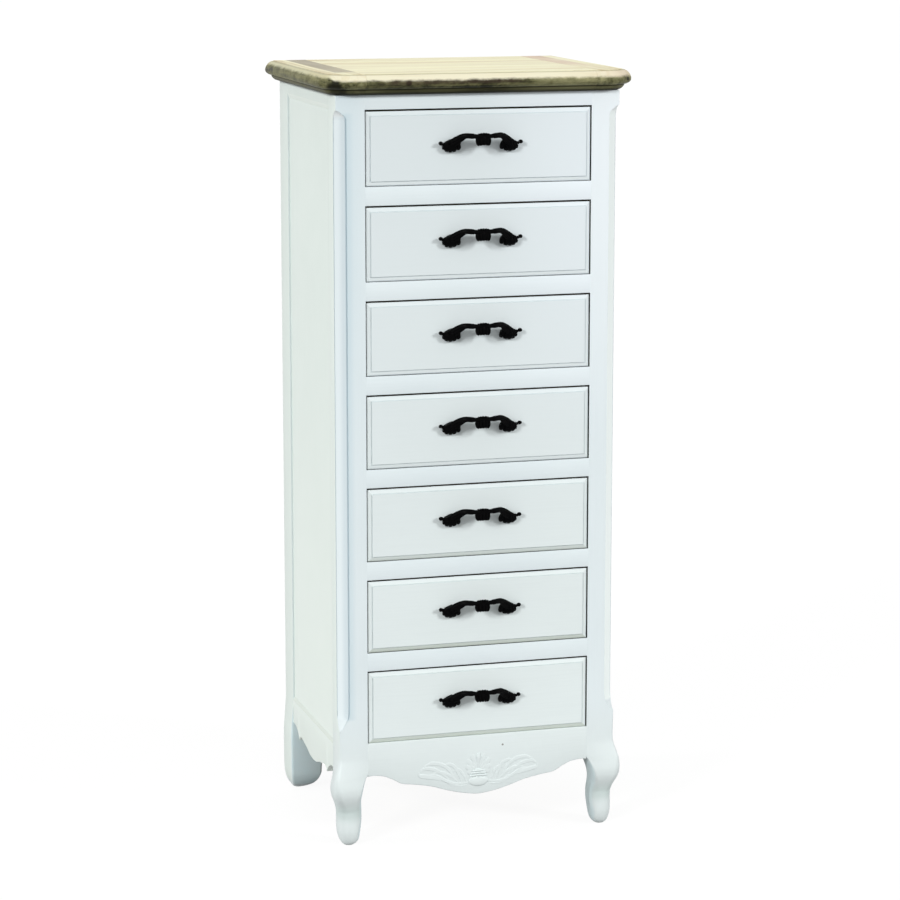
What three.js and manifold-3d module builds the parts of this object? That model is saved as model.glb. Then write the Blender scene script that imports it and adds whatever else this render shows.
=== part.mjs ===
// A tall narrow chest with seven drawers on two cabriole front legs, painted white under a plain wooden top.
// Sizes are in millimetres. X runs to the right as seen from the front, Y to the back and Z up.
// The front of the case stands at Y zero while the pieces are made, and the floor at Z zero.

import * as THREE from 'three';
import { mergeVertices } from 'three/addons/utils/BufferGeometryUtils.js';
import Module from 'manifold-3d';

const wasm = await Module();
wasm.setup();

// Case
const height = 1205;
const caseWidth = 450;
const caseDepth = 370;
const fit = 0.3;
const overrun = 5;

// Top slab
const slabThickness = 32;
const slabOverhang = 23;
const slabRearOverhang = 5;
const slabClip = 29;
const slabClipSoftening = 9;
const slabRearEase = 2;
const lipInset = 20.5;
const quirkInset = 12.5;
const borderWidth = 66;
const panelThickness = 22;
const ledgeWidth = 10;
const plankCount = 5;
const plankGroove = 1.2;

// Drawer openings, counted from the top
const drawerCount = 7;
const lowestRail = 165;
const dividerHeight = 29;
const topRailHeight = 22;
const railDepth = 22;

// Front posts with their legs
const postWidth = 45;
const postDepth = 45;
const frontChamfer = 16;
const sideChamfer = 18;
const chamferTopStop = 16;
const chamferFootStop = 30;
const chamferTopDrop = 22;
const chamferFootRise = 38;
const legHeight = 150;
const kneeReach = 10.8;
const legRounding = 14;
const legArris = 6;

// Rear posts with their feet
const rearPostWidth = 45;
const rearPostDepth = 54;
const rearFootHeight = 150;
const rearFootSwell = 5;
const rearFootArris = 5;

// Sides
const sideRailThickness = 20;
const sideTopRailHeight = 24;
const sidePanelThickness = 6;
const sidePanelRecess = 3;
const grooveDepth = 8;
const sideApronTop = 162;
const sideApronBevel = 5;
const sideApronLow = 93;
const sideApronArch = 118;

// Front apron and its carving
const apronThickness = 20;
const apronDrop = 69;
const apronArch = 112;
const carvingWidth = 196;
const carvingHeight = 53;
const carvingThickness = 3;
const carvingLift = 13;

// Back
const backThickness = 5;
const backRecess = 2;
const backBottom = 120;

// Runners
const runnerWidth = 30;
const runnerHeight = 20;
const runnerLift = 8;

// Drawers
const sideGap = 1.5;
const topGap = 2;
const bottomGap = 0.6;
const frontThickness = 18;
const fieldProud = 1;
const borderFall = 3.5;
const frontBorder = 7;
const boxBackGap = 46;
const boxTopGap = 28;
const boxWall = 12;
const boxSideGap = 3;
const bottomThickness = 5;
const bottomLift = 12;
const bottomGroove = 5;
const notchPlay = 0.8;

// Pulls
const pullWidth = 134;
const pullProjection = 27;
const pullBar = 7;
const pullRise = 13;
const pullLift = 5;
const screwSpacing = 90;
const leafWidth = 33;
const leafHeight = 21;
const leafThickness = 8;
const leafDrop = 3.5;
const tipBall = 3.4;
const tipReach = 4.5;
const tipProud = 11;
const shellWidth = 22;
const shellHeight = 17;
const shellDepth = 9;
const shellRise = 5;
const screwDiameter = 4;
const screwPlay = 0.6;
const screwHeadDiameter = 9;
const screwHeadThickness = 2.5;
const screwSides = 8;

// How round the soft corners are, and how many steps the curves are drawn with
const softness = 0.6;
const arrisSteps = 2;
const clipSteps = 3;
const kneeSteps = 5;
const waveSteps = 12;
const archSteps = 7;
const apronSteps = 24;
const barSides = 7;
const barSteps = 16;
const tipSides = 8;
const tipRows = 6;
const shellSides = 10;
const shellRows = 8;

// Places that follow from the sizes above
const halfCase = caseWidth / 2;
const caseTop = height - slabThickness;
const openingHalf = halfCase - postWidth;
const firstOpeningTop = caseTop - topRailHeight;
const apronTop = lowestRail;
const frontSpan = firstOpeningTop - apronTop;
const openingHeight = (frontSpan - (drawerCount - 1) * dividerHeight) / drawerCount;
const pitch = openingHeight + dividerHeight;
const rearPostFront = caseDepth - rearPostDepth;
const panelOutside = halfCase - sidePanelRecess;
const backRear = caseDepth - backRecess;
const backFront = backRear - backThickness;
const sideTopRailBottom = caseTop - sideTopRailHeight;
const boxBack = backFront - boxBackGap;
const boxHeight = openingHeight - boxTopGap;

// Shares of the front leg's bend: height, reach and flank of the knee, inner side, rounding and arris
const legLevelShares = [
  0, 0.02, 0.053, 0.1, 0.16, 0.22, 0.287, 0.353, 0.413, 0.467,
  0.513, 0.567, 0.62, 0.667, 0.713, 0.745, 0.77, 0.807, 0.867, 0.933, 1,
];
const legReachShares = [
  -0.93, -0.65, -0.42, -0.26, -0.14, -0.09, -0.16, -0.07, 0.14, 0.39,
  0.65, 0.88, 0.98, 1, 0.93, 0.83, 0.72, 0.55, 0.27, 0.06, 0,
];
const legFlankShares = [
  -0.93, -0.65, -0.42, -0.26, -0.14, -0.09, -0.16, -0.07, 0.14, 0.37,
  0.58, 0.69, 0.65, 0.46, 0.23, 0.1, 0, 0, 0, 0, 0,
];
const legInnerShares = [
  0.53, 0.61, 0.67, 0.71, 0.745, 0.78, 0.807, 0.807, 0.79, 0.77,
  0.765, 0.778, 0.81, 0.85, 0.905, 0.955, 1, 1, 1, 1, 1,
];
const legRoundShares = [
  0.43, 0.57, 0.71, 0.86, 0.93, 1, 1, 1, 1, 1,
  1, 1, 1, 0.93, 0.8, 0.7, 0.6, 0.5, 0.4, 0.32, 0.25,
];
const legArrisShares = [
  0.8, 1, 1, 1, 1, 1, 1, 1, 1, 1,
  1, 0.95, 0.8, 0.55, 0.3, 0.15, 0.07, 0.07, 0.07, 0.07, 0.07,
];

// Shares of a chamfer stop: how far along the stop, and how much of the chamfer is there
const stopRunShares = [0, 0.12, 0.35, 0.65, 1];
const stopCutShares = [0.08, 0.4, 0.68, 0.88, 1];

// Shares of the rear foot: height, outward swell, inner side, front and back of the post
const rearLevelShares = [0, 0.02, 0.06, 0.12, 0.2, 0.4, 0.63, 0.78, 1];
const rearSwellShares = [-1.6, -0.7, 0, 0.6, 0.9, 1, 1, 0.6, 0];
const rearInnerShares = [0.46, 0.65, 0.84, 0.98, 1.06, 1.08, 1.06, 1.02, 1];
const rearDepthShares = [0.58, 0.7, 0.86, 0.98, 1.05, 1.07, 1.06, 1, 1];
const rearBackShares = [0.22, 0.12, 0.04, 0.01, 0, 0, 0, 0, 0];

// Shares of the front apron's lower edge from its middle to the post, and from its drop up to its arch
const apronRunShares = [0, 0.12, 0.28, 0.43, 0.58, 0.69, 0.78, 0.87, 0.955, 1];
const apronRiseShares = [0, 0.06, 0.22, 0.42, 0.54, 0.61, 0.81, 0.96, 1, 0.98];

// Shares of the side apron's lower edge from its middle to the cusp, and from the cusp to the post
const sideWaveRunShares = [0, 0.15, 0.3, 0.45, 0.58, 0.65, 0.69];
const sideWaveRiseShares = [0, 0.06, 0.28, 0.42, 0.53, 0.46, 0.26];
const sideArchRunShares = [0.69, 0.72, 0.8, 0.9, 1];
const sideArchRiseShares = [0.26, 0.46, 0.78, 0.96, 1];

// Shares of the slab's edge moulding: how far in from the nose, and how high in the thickness
const lipInsetShares = [1, 0.83, 0.66, 0.54, 0.47, 0.49];
const lipLevelShares = [0, 0.028, 0.09, 0.175, 0.256, 0.278];
const noseInsetShares = [0.51, 0.23, 0.064, 0, 0.05, 0.19, 0.44, 0.72, 0.97];
const noseLevelShares = [0.306, 0.366, 0.4375, 0.53, 0.66, 0.78, 0.89, 0.955, 0.975];

// Shares of the carving's outline, right half from the bottom bud to the top of the fan
const carvingRunShares = [
  0, 0.1, 0.16, 0.24, 0.4, 0.6, 0.8, 0.93, 1, 0.97,
  0.84, 0.66, 0.5, 0.37, 0.27, 0.24, 0.15, 0.06, 0,
];
const carvingRiseShares = [
  0, 0.03, 0.12, 0.12, 0.17, 0.3, 0.45, 0.5, 0.62, 0.76,
  0.82, 0.76, 0.63, 0.5, 0.58, 0.76, 0.93, 0.93, 1,
];

// Shares of a leaf foot's outline, from the inner side round its serrated lower edge to the tip and back
const leafRunShares = [0.02, 0.1, 0.22, 0.32, 0.42, 0.55, 0.62, 0.76, 0.84, 1, 0.94, 0.7, 0.4, 0.12];
const leafRiseShares = [0.4, 0.12, 0.1, 0, 0.08, 0.12, 0.25, 0.3, 0.5, 0.62, 0.82, 0.9, 1, 0.9];

// Shares of the pull's bar from the middle to the screw, of its half spacing, reach and rise
const barRunShares = [0, 0.22, 0.5, 0.78, 1];
const barReachShares = [1, 0.99, 0.88, 0.55, 0.14];
const barRiseShares = [0.88, 0.93, 1, 0.62, -0.1];

// Helpers
function solidOf(geometry) {
  const bare = geometry.index ? geometry.toNonIndexed() : geometry.clone();
  bare.deleteAttribute('normal');
  bare.deleteAttribute('uv');
  const merged = mergeVertices(bare);
  return new wasm.Manifold(new wasm.Mesh({
    numProp: 3,
    vertProperties: new Float32Array(merged.attributes.position.array),
    triVerts: new Uint32Array(merged.index.array),
  }));
}

function geometryOf(solid) {
  const { vertProperties, triVerts } = solid.getMesh();
  const geometry = new THREE.BufferGeometry();
  geometry.setAttribute('position', new THREE.BufferAttribute(new Float32Array(vertProperties), 3));
  geometry.setIndex(new THREE.BufferAttribute(new Uint32Array(triVerts), 1));
  return geometry;
}

function subtract(geometry, ...cutters) {
  return geometryOf(cutters.reduce((solid, cutter) => solid.subtract(solidOf(cutter)), solidOf(geometry)));
}

function join(geometry, ...others) {
  return geometryOf(others.reduce((solid, other) => solid.add(solidOf(other)), solidOf(geometry)));
}

function intersect(geometry, other) {
  return geometryOf(solidOf(geometry).intersect(solidOf(other)));
}

function block(x0, x1, y0, y1, z0, z1) {
  const geometry = new THREE.BoxGeometry(x1 - x0, y1 - y0, z1 - z0);
  return geometry.translate((x0 + x1) / 2, (y0 + y1) / 2, (z0 + z1) / 2);
}

// An outline in X and Z made solid from the front plane to the back plane.
function frontPrism(points, front, back) {
  const outline = new THREE.Shape(points);
  const geometry = new THREE.ExtrudeGeometry(outline, { depth: back - front, bevelEnabled: false });
  return geometry.rotateX(Math.PI / 2).translate(0, back, 0);
}

// An outline in Y and Z made solid from the left plane to the right plane.
function sidePrism(points, left, right) {
  const outline = new THREE.Shape(points);
  const geometry = new THREE.ExtrudeGeometry(outline, { depth: right - left, bevelEnabled: false });
  return geometry.rotateX(Math.PI / 2).rotateZ(Math.PI / 2).translate(left, 0, 0);
}

// A solid through closed rings of the same count, each counterclockwise as seen from the last one.
function loft(rings) {
  const count = rings[0].length;
  const positions = rings.flatMap((ring) => ring.flatMap((point) => [point.x, point.y, point.z]));
  const index = [];
  for (let level = 0; level < rings.length - 1; level += 1) {
    for (let step = 0; step < count; step += 1) {
      const low = level * count + step;
      const lowNext = level * count + ((step + 1) % count);
      index.push(low, lowNext, lowNext + count, low, lowNext + count, low + count);
    }
  }
  for (let step = 1; step < count - 1; step += 1) {
    const last = (rings.length - 1) * count;
    index.push(0, step + 1, step);
    index.push(last, last + step, last + step + 1);
  }
  const geometry = new THREE.BufferGeometry();
  geometry.setAttribute('position', new THREE.BufferAttribute(new Float32Array(positions), 3));
  geometry.setIndex(index);
  return geometry;
}

function mirrored(geometry) {
  const copy = geometry.clone().scale(-1, 1, 1);
  const index = Array.from(copy.index.array);
  for (let corner = 0; corner < index.length; corner += 3) {
    [index[corner + 1], index[corner + 2]] = [index[corner + 2], index[corner + 1]];
  }
  copy.setIndex(index);
  return copy;
}

// The points that take the place of one corner of a ring: a straight cut or a rounding, as bulge says.
function corner(at, before, after, cutBefore, cutAfter, bulge, segments) {
  const start = at.clone().lerp(before, cutBefore / at.distanceTo(before));
  const end = at.clone().lerp(after, cutAfter / at.distanceTo(after));
  const pull = start.clone().add(end).multiplyScalar(0.5).lerp(at, bulge);
  return new THREE.QuadraticBezierCurve(start, pull, end).getPoints(segments);
}

function ringOf(corners, cuts, level) {
  const points = corners.flatMap((at, place) => {
    const before = corners[(place + corners.length - 1) % corners.length];
    const after = corners[(place + 1) % corners.length];
    const { cutBefore, cutAfter, bulge, segments } = cuts[place];
    return corner(at, before, after, cutBefore, cutAfter, bulge, segments);
  });
  return points.map((point) => new THREE.Vector3(point.x, point.y, level));
}

function evenCut(size, bulge, segments) {
  return { cutBefore: size, cutAfter: size, bulge, segments };
}

function splinePoints(runs, rises, run, rise, base, count) {
  const knots = runs.map((share, place) => new THREE.Vector2(share * run, base + rises[place] * rise));
  return new THREE.SplineCurve(knots).getPoints(count);
}

// Materials
const paint = { color: 0xe4e9ec, roughness: 0.55, metalness: 0 };
const wood = { color: 0xb9a47c, roughness: 0.7, metalness: 0 };
const paleWood = { color: 0xd8c79c, roughness: 0.7, metalness: 0 };
const iron = { color: 0x17130f, roughness: 0.45, metalness: 0.7 };
const bareWood = { color: 0xc9b189, roughness: 0.8, metalness: 0 };

const chest = new THREE.Group();

function piece(name, geometry, finish, parent = chest) {
  const mesh = new THREE.Mesh(geometry, new THREE.MeshStandardMaterial(finish));
  mesh.name = name;
  parent.add(mesh);
}

function pair(name, leftGeometry, finish) {
  piece(name.replace('SIDE', 'left'), leftGeometry, finish);
  piece(name.replace('SIDE', 'right'), mirrored(leftGeometry), finish);
}

// Front posts: a square post whose outer corner is chamfered between two stops, and a cabriole leg below it
function frontPostRing(level, reach, flank, innerShare, cornerCut, bulge, arris) {
  const inside = -halfCase + innerShare * postWidth;
  const rear = innerShare * postDepth;
  const corners = [
    new THREE.Vector2(-halfCase - reach, -reach),
    new THREE.Vector2(inside, -flank),
    new THREE.Vector2(inside, rear),
    new THREE.Vector2(-halfCase - flank, rear),
  ];
  const outer = { cutBefore: cornerCut.side, cutAfter: cornerCut.front, bulge, segments: kneeSteps };
  const soft = evenCut(arris, softness, arrisSteps);
  return ringOf(corners, [outer, soft, soft, soft], level);
}

function frontPost() {
  const postArris = legArrisShares.at(-1) * legArris;
  const rings = legLevelShares.map((share, place) => {
    const round = legRoundShares[place] * legRounding;
    const cut = { side: round, front: round };
    const arris = legArrisShares[place] * legArris;
    const reach = legReachShares[place] * kneeReach;
    const flank = legFlankShares[place] * kneeReach;
    return frontPostRing(share * legHeight, reach, flank, legInnerShares[place], cut, softness, arris);
  });
  const chamferAt = (level, share, bulge) => {
    const cut = { side: share * sideChamfer, front: share * frontChamfer };
    rings.push(frontPostRing(level, 0, 0, 1, cut, bulge, postArris));
  };
  const footStop = legHeight + chamferFootRise;
  const topStop = caseTop - chamferTopDrop;
  stopRunShares.forEach((run, place) => chamferAt(footStop + run * chamferFootStop, stopCutShares[place], 0));
  for (let place = stopRunShares.length - 1; place >= 0; place -= 1) {
    chamferAt(topStop - stopRunShares[place] * chamferTopStop, stopCutShares[place], 0);
  }
  chamferAt(caseTop - fit, stopCutShares[0], 0);
  return subtract(loft(rings), sidePanelGroove());
}

// Side panel, its grooves in the posts and rails, and the rails above and below it
function sidePanelBlock(play) {
  return block(
    -panelOutside - play,
    -panelOutside + sidePanelThickness + play,
    postDepth - grooveDepth + fit - play,
    rearPostFront + grooveDepth - fit + play,
    sideApronTop - grooveDepth + fit - play,
    sideTopRailBottom + grooveDepth - fit + play,
  );
}

function sidePanelGroove() {
  return sidePanelBlock(fit);
}

function sideTopRail() {
  const rail = block(
    -halfCase, -halfCase + sideRailThickness,
    postDepth + fit, rearPostFront - fit,
    sideTopRailBottom, caseTop - fit,
  );
  return subtract(rail, sidePanelGroove());
}

function sideApron() {
  const half = (rearPostFront - postDepth) / 2 - fit;
  const middle = (rearPostFront + postDepth) / 2;
  const rise = sideApronArch - sideApronLow;
  const wave = splinePoints(sideWaveRunShares, sideWaveRiseShares, half, rise, sideApronLow, waveSteps);
  const arch = splinePoints(sideArchRunShares, sideArchRiseShares, half, rise, sideApronLow, archSteps);
  const toBack = [...wave, ...arch.slice(1)];
  const toFront = toBack.slice(1).reverse().map((point) => new THREE.Vector2(-point.x, point.y));
  const lower = [...toFront, ...toBack].map((point) => new THREE.Vector2(point.x + middle, point.y));
  const rearTop = new THREE.Vector2(middle + half, sideApronTop);
  const foreTop = new THREE.Vector2(middle - half, sideApronTop);
  const upper = [rearTop, foreTop];
  const board = sidePrism([...lower, ...upper], -halfCase, -halfCase + sideRailThickness);
  const bevel = frontPrism([
    new THREE.Vector2(-halfCase - overrun, sideApronTop - sideApronBevel),
    new THREE.Vector2(-halfCase, sideApronTop - sideApronBevel),
    new THREE.Vector2(-halfCase + sidePanelRecess, sideApronTop),
    new THREE.Vector2(-halfCase + sidePanelRecess, sideApronTop + overrun),
    new THREE.Vector2(-halfCase - overrun, sideApronTop + overrun),
  ], postDepth - overrun, rearPostFront + overrun);
  return subtract(board, sidePanelGroove(), bevel);
}

// Rear posts: plain stiles grooved for the side panel and rebated for the back, with a softly swelling foot
function rearPost() {
  const ringAt = (level, swell, innerShare, depthShare, backShare, arris) => {
    const outside = -halfCase - swell;
    const inside = -halfCase + innerShare * rearPostWidth;
    const front = caseDepth - depthShare * rearPostDepth;
    const back = caseDepth - backShare * rearPostDepth;
    const corners = [
      new THREE.Vector2(outside, front),
      new THREE.Vector2(inside, front),
      new THREE.Vector2(inside, back),
      new THREE.Vector2(outside, back),
    ];
    return ringOf(corners, corners.map(() => evenCut(arris, softness, arrisSteps)), level);
  };
  const postArris = legArrisShares.at(-1) * legArris;
  const rings = rearLevelShares.map((share, place) => {
    const arris = place === rearLevelShares.length - 1 ? postArris : rearFootArris;
    const swell = rearSwellShares[place] * rearFootSwell;
    const level = share * rearFootHeight;
    return ringAt(level, swell, rearInnerShares[place], rearDepthShares[place], rearBackShares[place], arris);
  });
  rings.push(ringAt(caseTop - fit, 0, 1, 1, 0, postArris));
  return subtract(loft(rings), sidePanelGroove(), backPanelBlock(fit), backRelief());
}

// Back panel in the rebates of the rear posts
function backPanelBlock(play) {
  const reach = halfCase - rearPostWidth + grooveDepth - fit + play;
  return block(-reach, reach, backFront - play, backRear + play, backBottom - play, caseTop - fit + play);
}

function backRelief() {
  const reach = halfCase - rearPostWidth + grooveDepth;
  return block(-reach, reach, backFront, caseDepth + overrun, backBottom - fit, caseTop + overrun);
}

// Front frame
function frontRail(bottom, top) {
  return block(-openingHalf + fit, openingHalf - fit, 0, railDepth, bottom, top);
}

function frontApron() {
  const half = openingHalf - fit;
  const rise = apronArch - apronDrop;
  const right = splinePoints(apronRunShares, apronRiseShares, half, rise, apronDrop, apronSteps);
  const left = right.slice(1).reverse().map((point) => new THREE.Vector2(-point.x, point.y));
  const upper = [new THREE.Vector2(half, apronTop), new THREE.Vector2(-half, apronTop)];
  return frontPrism([...left, ...right, ...upper], 0, apronThickness);
}

function carving() {
  const base = apronDrop + carvingLift;
  const right = carvingRunShares.map((share, place) => (
    new THREE.Vector2(share * carvingWidth / 2, base + carvingRiseShares[place] * carvingHeight)
  ));
  const left = right.slice(1, -1).reverse().map((point) => new THREE.Vector2(-point.x, point.y));
  return frontPrism([...right, ...left], -carvingThickness, -fit);
}

// Top slab: end boards with a front and a back board between them, moulded outside, round planks on a ledge
function slabOutline(inset, level) {
  const side = halfCase + slabOverhang - inset;
  const front = -slabOverhang + inset;
  const back = caseDepth + slabRearOverhang - Math.min(inset, slabRearEase);
  const clip = slabClip - inset * (2 - Math.SQRT2);
  const corners = [
    new THREE.Vector2(-side, front + clip),
    new THREE.Vector2(-side + clip, front),
    new THREE.Vector2(side - clip, front),
    new THREE.Vector2(side, front + clip),
    new THREE.Vector2(side, back),
    new THREE.Vector2(-side, back),
  ];
  const soft = evenCut(slabClipSoftening, softness, clipSteps);
  const eased = evenCut(slabRearEase, softness, arrisSteps);
  return ringOf(corners, [soft, soft, soft, soft, eased, eased], level);
}

function slabBlank() {
  const underside = height - slabThickness;
  const lip = lipInsetShares.map((share, place) => (
    slabOutline(share * lipInset, underside + lipLevelShares[place] * slabThickness)
  ));
  const nose = noseInsetShares.map((share, place) => (
    slabOutline(share * quirkInset, underside + noseLevelShares[place] * slabThickness)
  ));
  return loft([...lip, ...nose, slabOutline(quirkInset, height)]);
}

const slabLeft = -halfCase - slabOverhang;
const slabFront = -slabOverhang;
const slabBack = caseDepth + slabRearOverhang;
const panelLeft = slabLeft + borderWidth;
const panelFront = slabFront + borderWidth;
const panelBack = slabBack - borderWidth;
const seatLevel = height - panelThickness;

function slabBoards() {
  const low = caseTop - overrun;
  const high = height + overrun;
  const ledgeLeft = panelLeft + ledgeWidth;
  const well = block(ledgeLeft, -ledgeLeft, panelFront + ledgeWidth, panelBack - ledgeWidth, low, high);
  const seat = block(panelLeft, -panelLeft, panelFront, panelBack, seatLevel - fit, high);
  const frame = subtract(slabBlank(), well, seat);
  const outside = slabLeft - overrun;
  const between = panelLeft + fit;
  const inside = ledgeLeft + fit;
  const frontRegion = join(
    block(between, -between, slabFront - overrun, panelFront, low, high),
    block(inside, -inside, panelFront - overrun, panelFront + ledgeWidth + overrun, low, high),
  );
  const backRegion = join(
    block(between, -between, panelBack, slabBack + overrun, low, high),
    block(inside, -inside, panelBack - ledgeWidth - overrun, panelBack + overrun, low, high),
  );
  const leftRegion = join(
    block(outside, panelLeft, slabFront - overrun, slabBack + overrun, low, high),
    block(panelLeft - overrun, ledgeLeft, panelFront + fit, panelBack - fit, low, high),
  );
  const frontBoard = intersect(frame, frontRegion);
  const backBoard = intersect(frame, backRegion);
  const leftBoard = intersect(frame, leftRegion);
  return { frontBoard, backBoard, leftBoard };
}

function plankPanel() {
  const left = panelLeft + fit;
  const front = panelFront + fit;
  const back = panelBack - fit;
  const plankWidth = (back - front) / plankCount;
  const points = [new THREE.Vector2(front, seatLevel), new THREE.Vector2(back, seatLevel)];
  points.push(new THREE.Vector2(back, height));
  for (let seam = plankCount - 1; seam > 0; seam -= 1) {
    const at = front + seam * plankWidth;
    points.push(new THREE.Vector2(at + plankGroove / 2, height));
    points.push(new THREE.Vector2(at, height - plankGroove));
    points.push(new THREE.Vector2(at - plankGroove / 2, height));
  }
  points.push(new THREE.Vector2(front, height));
  return sidePrism(points, left, -left);
}

// Runner under a drawer, from the front frame to the back, guiding the notch in the drawer's back
function runner(openingBottom) {
  return block(
    -runnerWidth / 2, runnerWidth / 2,
    railDepth + fit, backFront - fit,
    openingBottom + runnerLift - runnerHeight, openingBottom + runnerLift,
  );
}

// Drawers, made with the opening's bottom at Z zero
const frontHalf = openingHalf - sideGap;
const boxHalf = openingHalf - boxSideGap;
const frontTop = openingHeight - topGap;
const frontRear = frontThickness - fieldProud;
const pullLevel = openingHeight / 2 + pullLift;
const screwLength = frontThickness + fit * 2 + screwHeadThickness / 2;

function rectangleRing(half, bottom, top, depth) {
  return [
    new THREE.Vector3(-half, depth, bottom),
    new THREE.Vector3(half, depth, bottom),
    new THREE.Vector3(half, depth, top),
    new THREE.Vector3(-half, depth, top),
  ];
}

function drawerBottomBlock(play) {
  const half = boxHalf - boxWall + bottomGroove - fit + play;
  return block(
    -half, half,
    frontRear - bottomGroove + fit - play, boxBack - boxWall + bottomGroove - fit + play,
    bottomLift - play, bottomLift + bottomThickness + play,
  );
}

function screwHole(side) {
  const radius = (screwDiameter + screwPlay) / 2;
  const hole = new THREE.CylinderGeometry(radius, radius, frontThickness + overrun * 2, screwSides);
  return hole.translate(side * screwSpacing / 2, frontThickness / 2, pullLevel);
}

function drawerFront() {
  const edge = -fieldProud + borderFall;
  const board = loft([
    rectangleRing(frontHalf, bottomGap, frontTop, frontRear),
    rectangleRing(frontHalf, bottomGap, frontTop, edge),
    rectangleRing(frontHalf - frontBorder, bottomGap + frontBorder, frontTop - frontBorder, -fieldProud),
  ]);
  return subtract(board, drawerBottomBlock(fit), screwHole(-1), screwHole(1));
}

function drawerBox() {
  const outer = block(-boxHalf, boxHalf, frontRear + fit, boxBack, fit, boxHeight);
  const inner = block(
    -boxHalf + boxWall, boxHalf - boxWall,
    frontRear - overrun, boxBack - boxWall,
    -overrun, boxHeight + overrun,
  );
  const notch = block(
    -runnerWidth / 2 - notchPlay, runnerWidth / 2 + notchPlay,
    boxBack - boxWall - overrun, boxBack + overrun,
    -overrun, runnerLift + fit,
  );
  return subtract(outer, inner, drawerBottomBlock(fit), notch);
}

// Pull: a cast arch between two leaf feet with a shell at its middle, on two screws through the drawer front
function ellipsoid(width, depth, tall, around, rows) {
  return new THREE.SphereGeometry(1, around, rows).rotateX(Math.PI / 2).scale(width / 2, depth / 2, tall / 2);
}

function pullBarTube() {
  const reach = pullProjection - pullBar / 2;
  const half = barRunShares.map((share, place) => new THREE.Vector3(
    share * screwSpacing / 2,
    -barReachShares[place] * reach,
    barRiseShares[place] * pullRise,
  ));
  const left = half.slice(1).reverse().map((point) => new THREE.Vector3(-point.x, point.y, point.z));
  const path = new THREE.CatmullRomCurve3([...left, ...half]);
  const section = new THREE.Shape();
  section.setFromPoints(Array.from({ length: barSides }, (_, step) => {
    const angle = step / barSides * Math.PI * 2;
    return new THREE.Vector2(Math.cos(angle), Math.sin(angle)).multiplyScalar(pullBar / 2);
  }));
  return new THREE.ExtrudeGeometry(section, { steps: barSteps, extrudePath: path, bevelEnabled: false });
}

function leafFoot() {
  const inner = pullWidth / 2 - leafWidth - tipBall;
  const points = leafRunShares.map((share, place) => new THREE.Vector2(
    inner + share * leafWidth,
    -leafDrop + (leafRiseShares[place] - 0.5) * leafHeight,
  ));
  return frontPrism(points, -leafThickness, -fit);
}

function screw(side) {
  const radius = screwDiameter / 2;
  const headRadius = screwHeadDiameter / 2;
  const shank = new THREE.CylinderGeometry(radius, radius, screwLength, screwSides);
  const head = new THREE.CylinderGeometry(headRadius, headRadius, screwHeadThickness, screwSides);
  shank.translate(0, screwLength / 2 - fit * 2, 0);
  head.translate(0, frontThickness + fit + screwHeadThickness / 2, 0);
  return join(shank, head).translate(side * screwSpacing / 2, 0, 0);
}

function pull() {
  const leaf = leafFoot();
  const ball = ellipsoid(tipBall * 2, tipReach * 2, tipBall * 2, tipSides, tipRows);
  ball.translate(pullWidth / 2 - tipBall, -tipProud, 0);
  const shell = ellipsoid(shellWidth, shellDepth, shellHeight, shellSides, shellRows);
  shell.translate(0, -pullProjection + shellDepth / 2, shellRise);
  const right = join(leaf, ball, screw(1));
  const whole = join(pullBarTube(), right, mirrored(right), shell);
  return whole.translate(0, -fieldProud, pullLevel);
}

function drawer(number) {
  const group = new THREE.Group();
  group.position.z = firstOpeningTop - openingHeight - (number - 1) * pitch;
  piece(`drawer_${number}_front`, drawerFront(), paint, group);
  piece(`drawer_${number}_box`, drawerBox(), bareWood, group);
  piece(`drawer_${number}_bottom`, drawerBottomBlock(0), bareWood, group);
  piece(`drawer_${number}_pull`, pull(), iron, group);
  return group;
}

// Assembly
pair('front_SIDE_post', frontPost(), paint);
pair('rear_SIDE_post', rearPost(), paint);
pair('SIDE_side_panel', sidePanelBlock(0), paint);
pair('SIDE_side_apron', sideApron(), paint);
pair('SIDE_top_rail', sideTopRail(), paint);
piece('back_panel', backPanelBlock(0), bareWood);
piece('front_top_rail', frontRail(firstOpeningTop, caseTop - fit), paint);
piece('front_apron', frontApron(), paint);
piece('apron_carving', carving(), paint);
for (let number = 1; number < drawerCount; number += 1) {
  const top = firstOpeningTop - number * openingHeight - (number - 1) * dividerHeight;
  piece(`divider_${number}`, frontRail(top - dividerHeight, top), paint);
}
for (let number = 1; number <= drawerCount; number += 1) {
  piece(`runner_${number}`, runner(firstOpeningTop - openingHeight - (number - 1) * pitch), bareWood);
  chest.add(drawer(number));
}
const { frontBoard, backBoard, leftBoard } = slabBoards();
piece('top_front_board', frontBoard, wood);
piece('top_back_board', backBoard, wood);
pair('top_SIDE_board', leftBoard, wood);
piece('top_plank_panel', plankPanel(), paleWood);

// The origin is put on the floor under the middle of the whole chest
chest.updateMatrixWorld(true);
const bounds = new THREE.Box3().setFromObject(chest);
chest.position.set(-(bounds.min.x + bounds.max.x) / 2, -(bounds.min.y + bounds.max.y) / 2, -bounds.min.z);

export default chest;
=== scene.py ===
"""A tall painted chest of seven drawers: cabriole front legs, weathered wooden top, dark cast pulls."""

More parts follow.
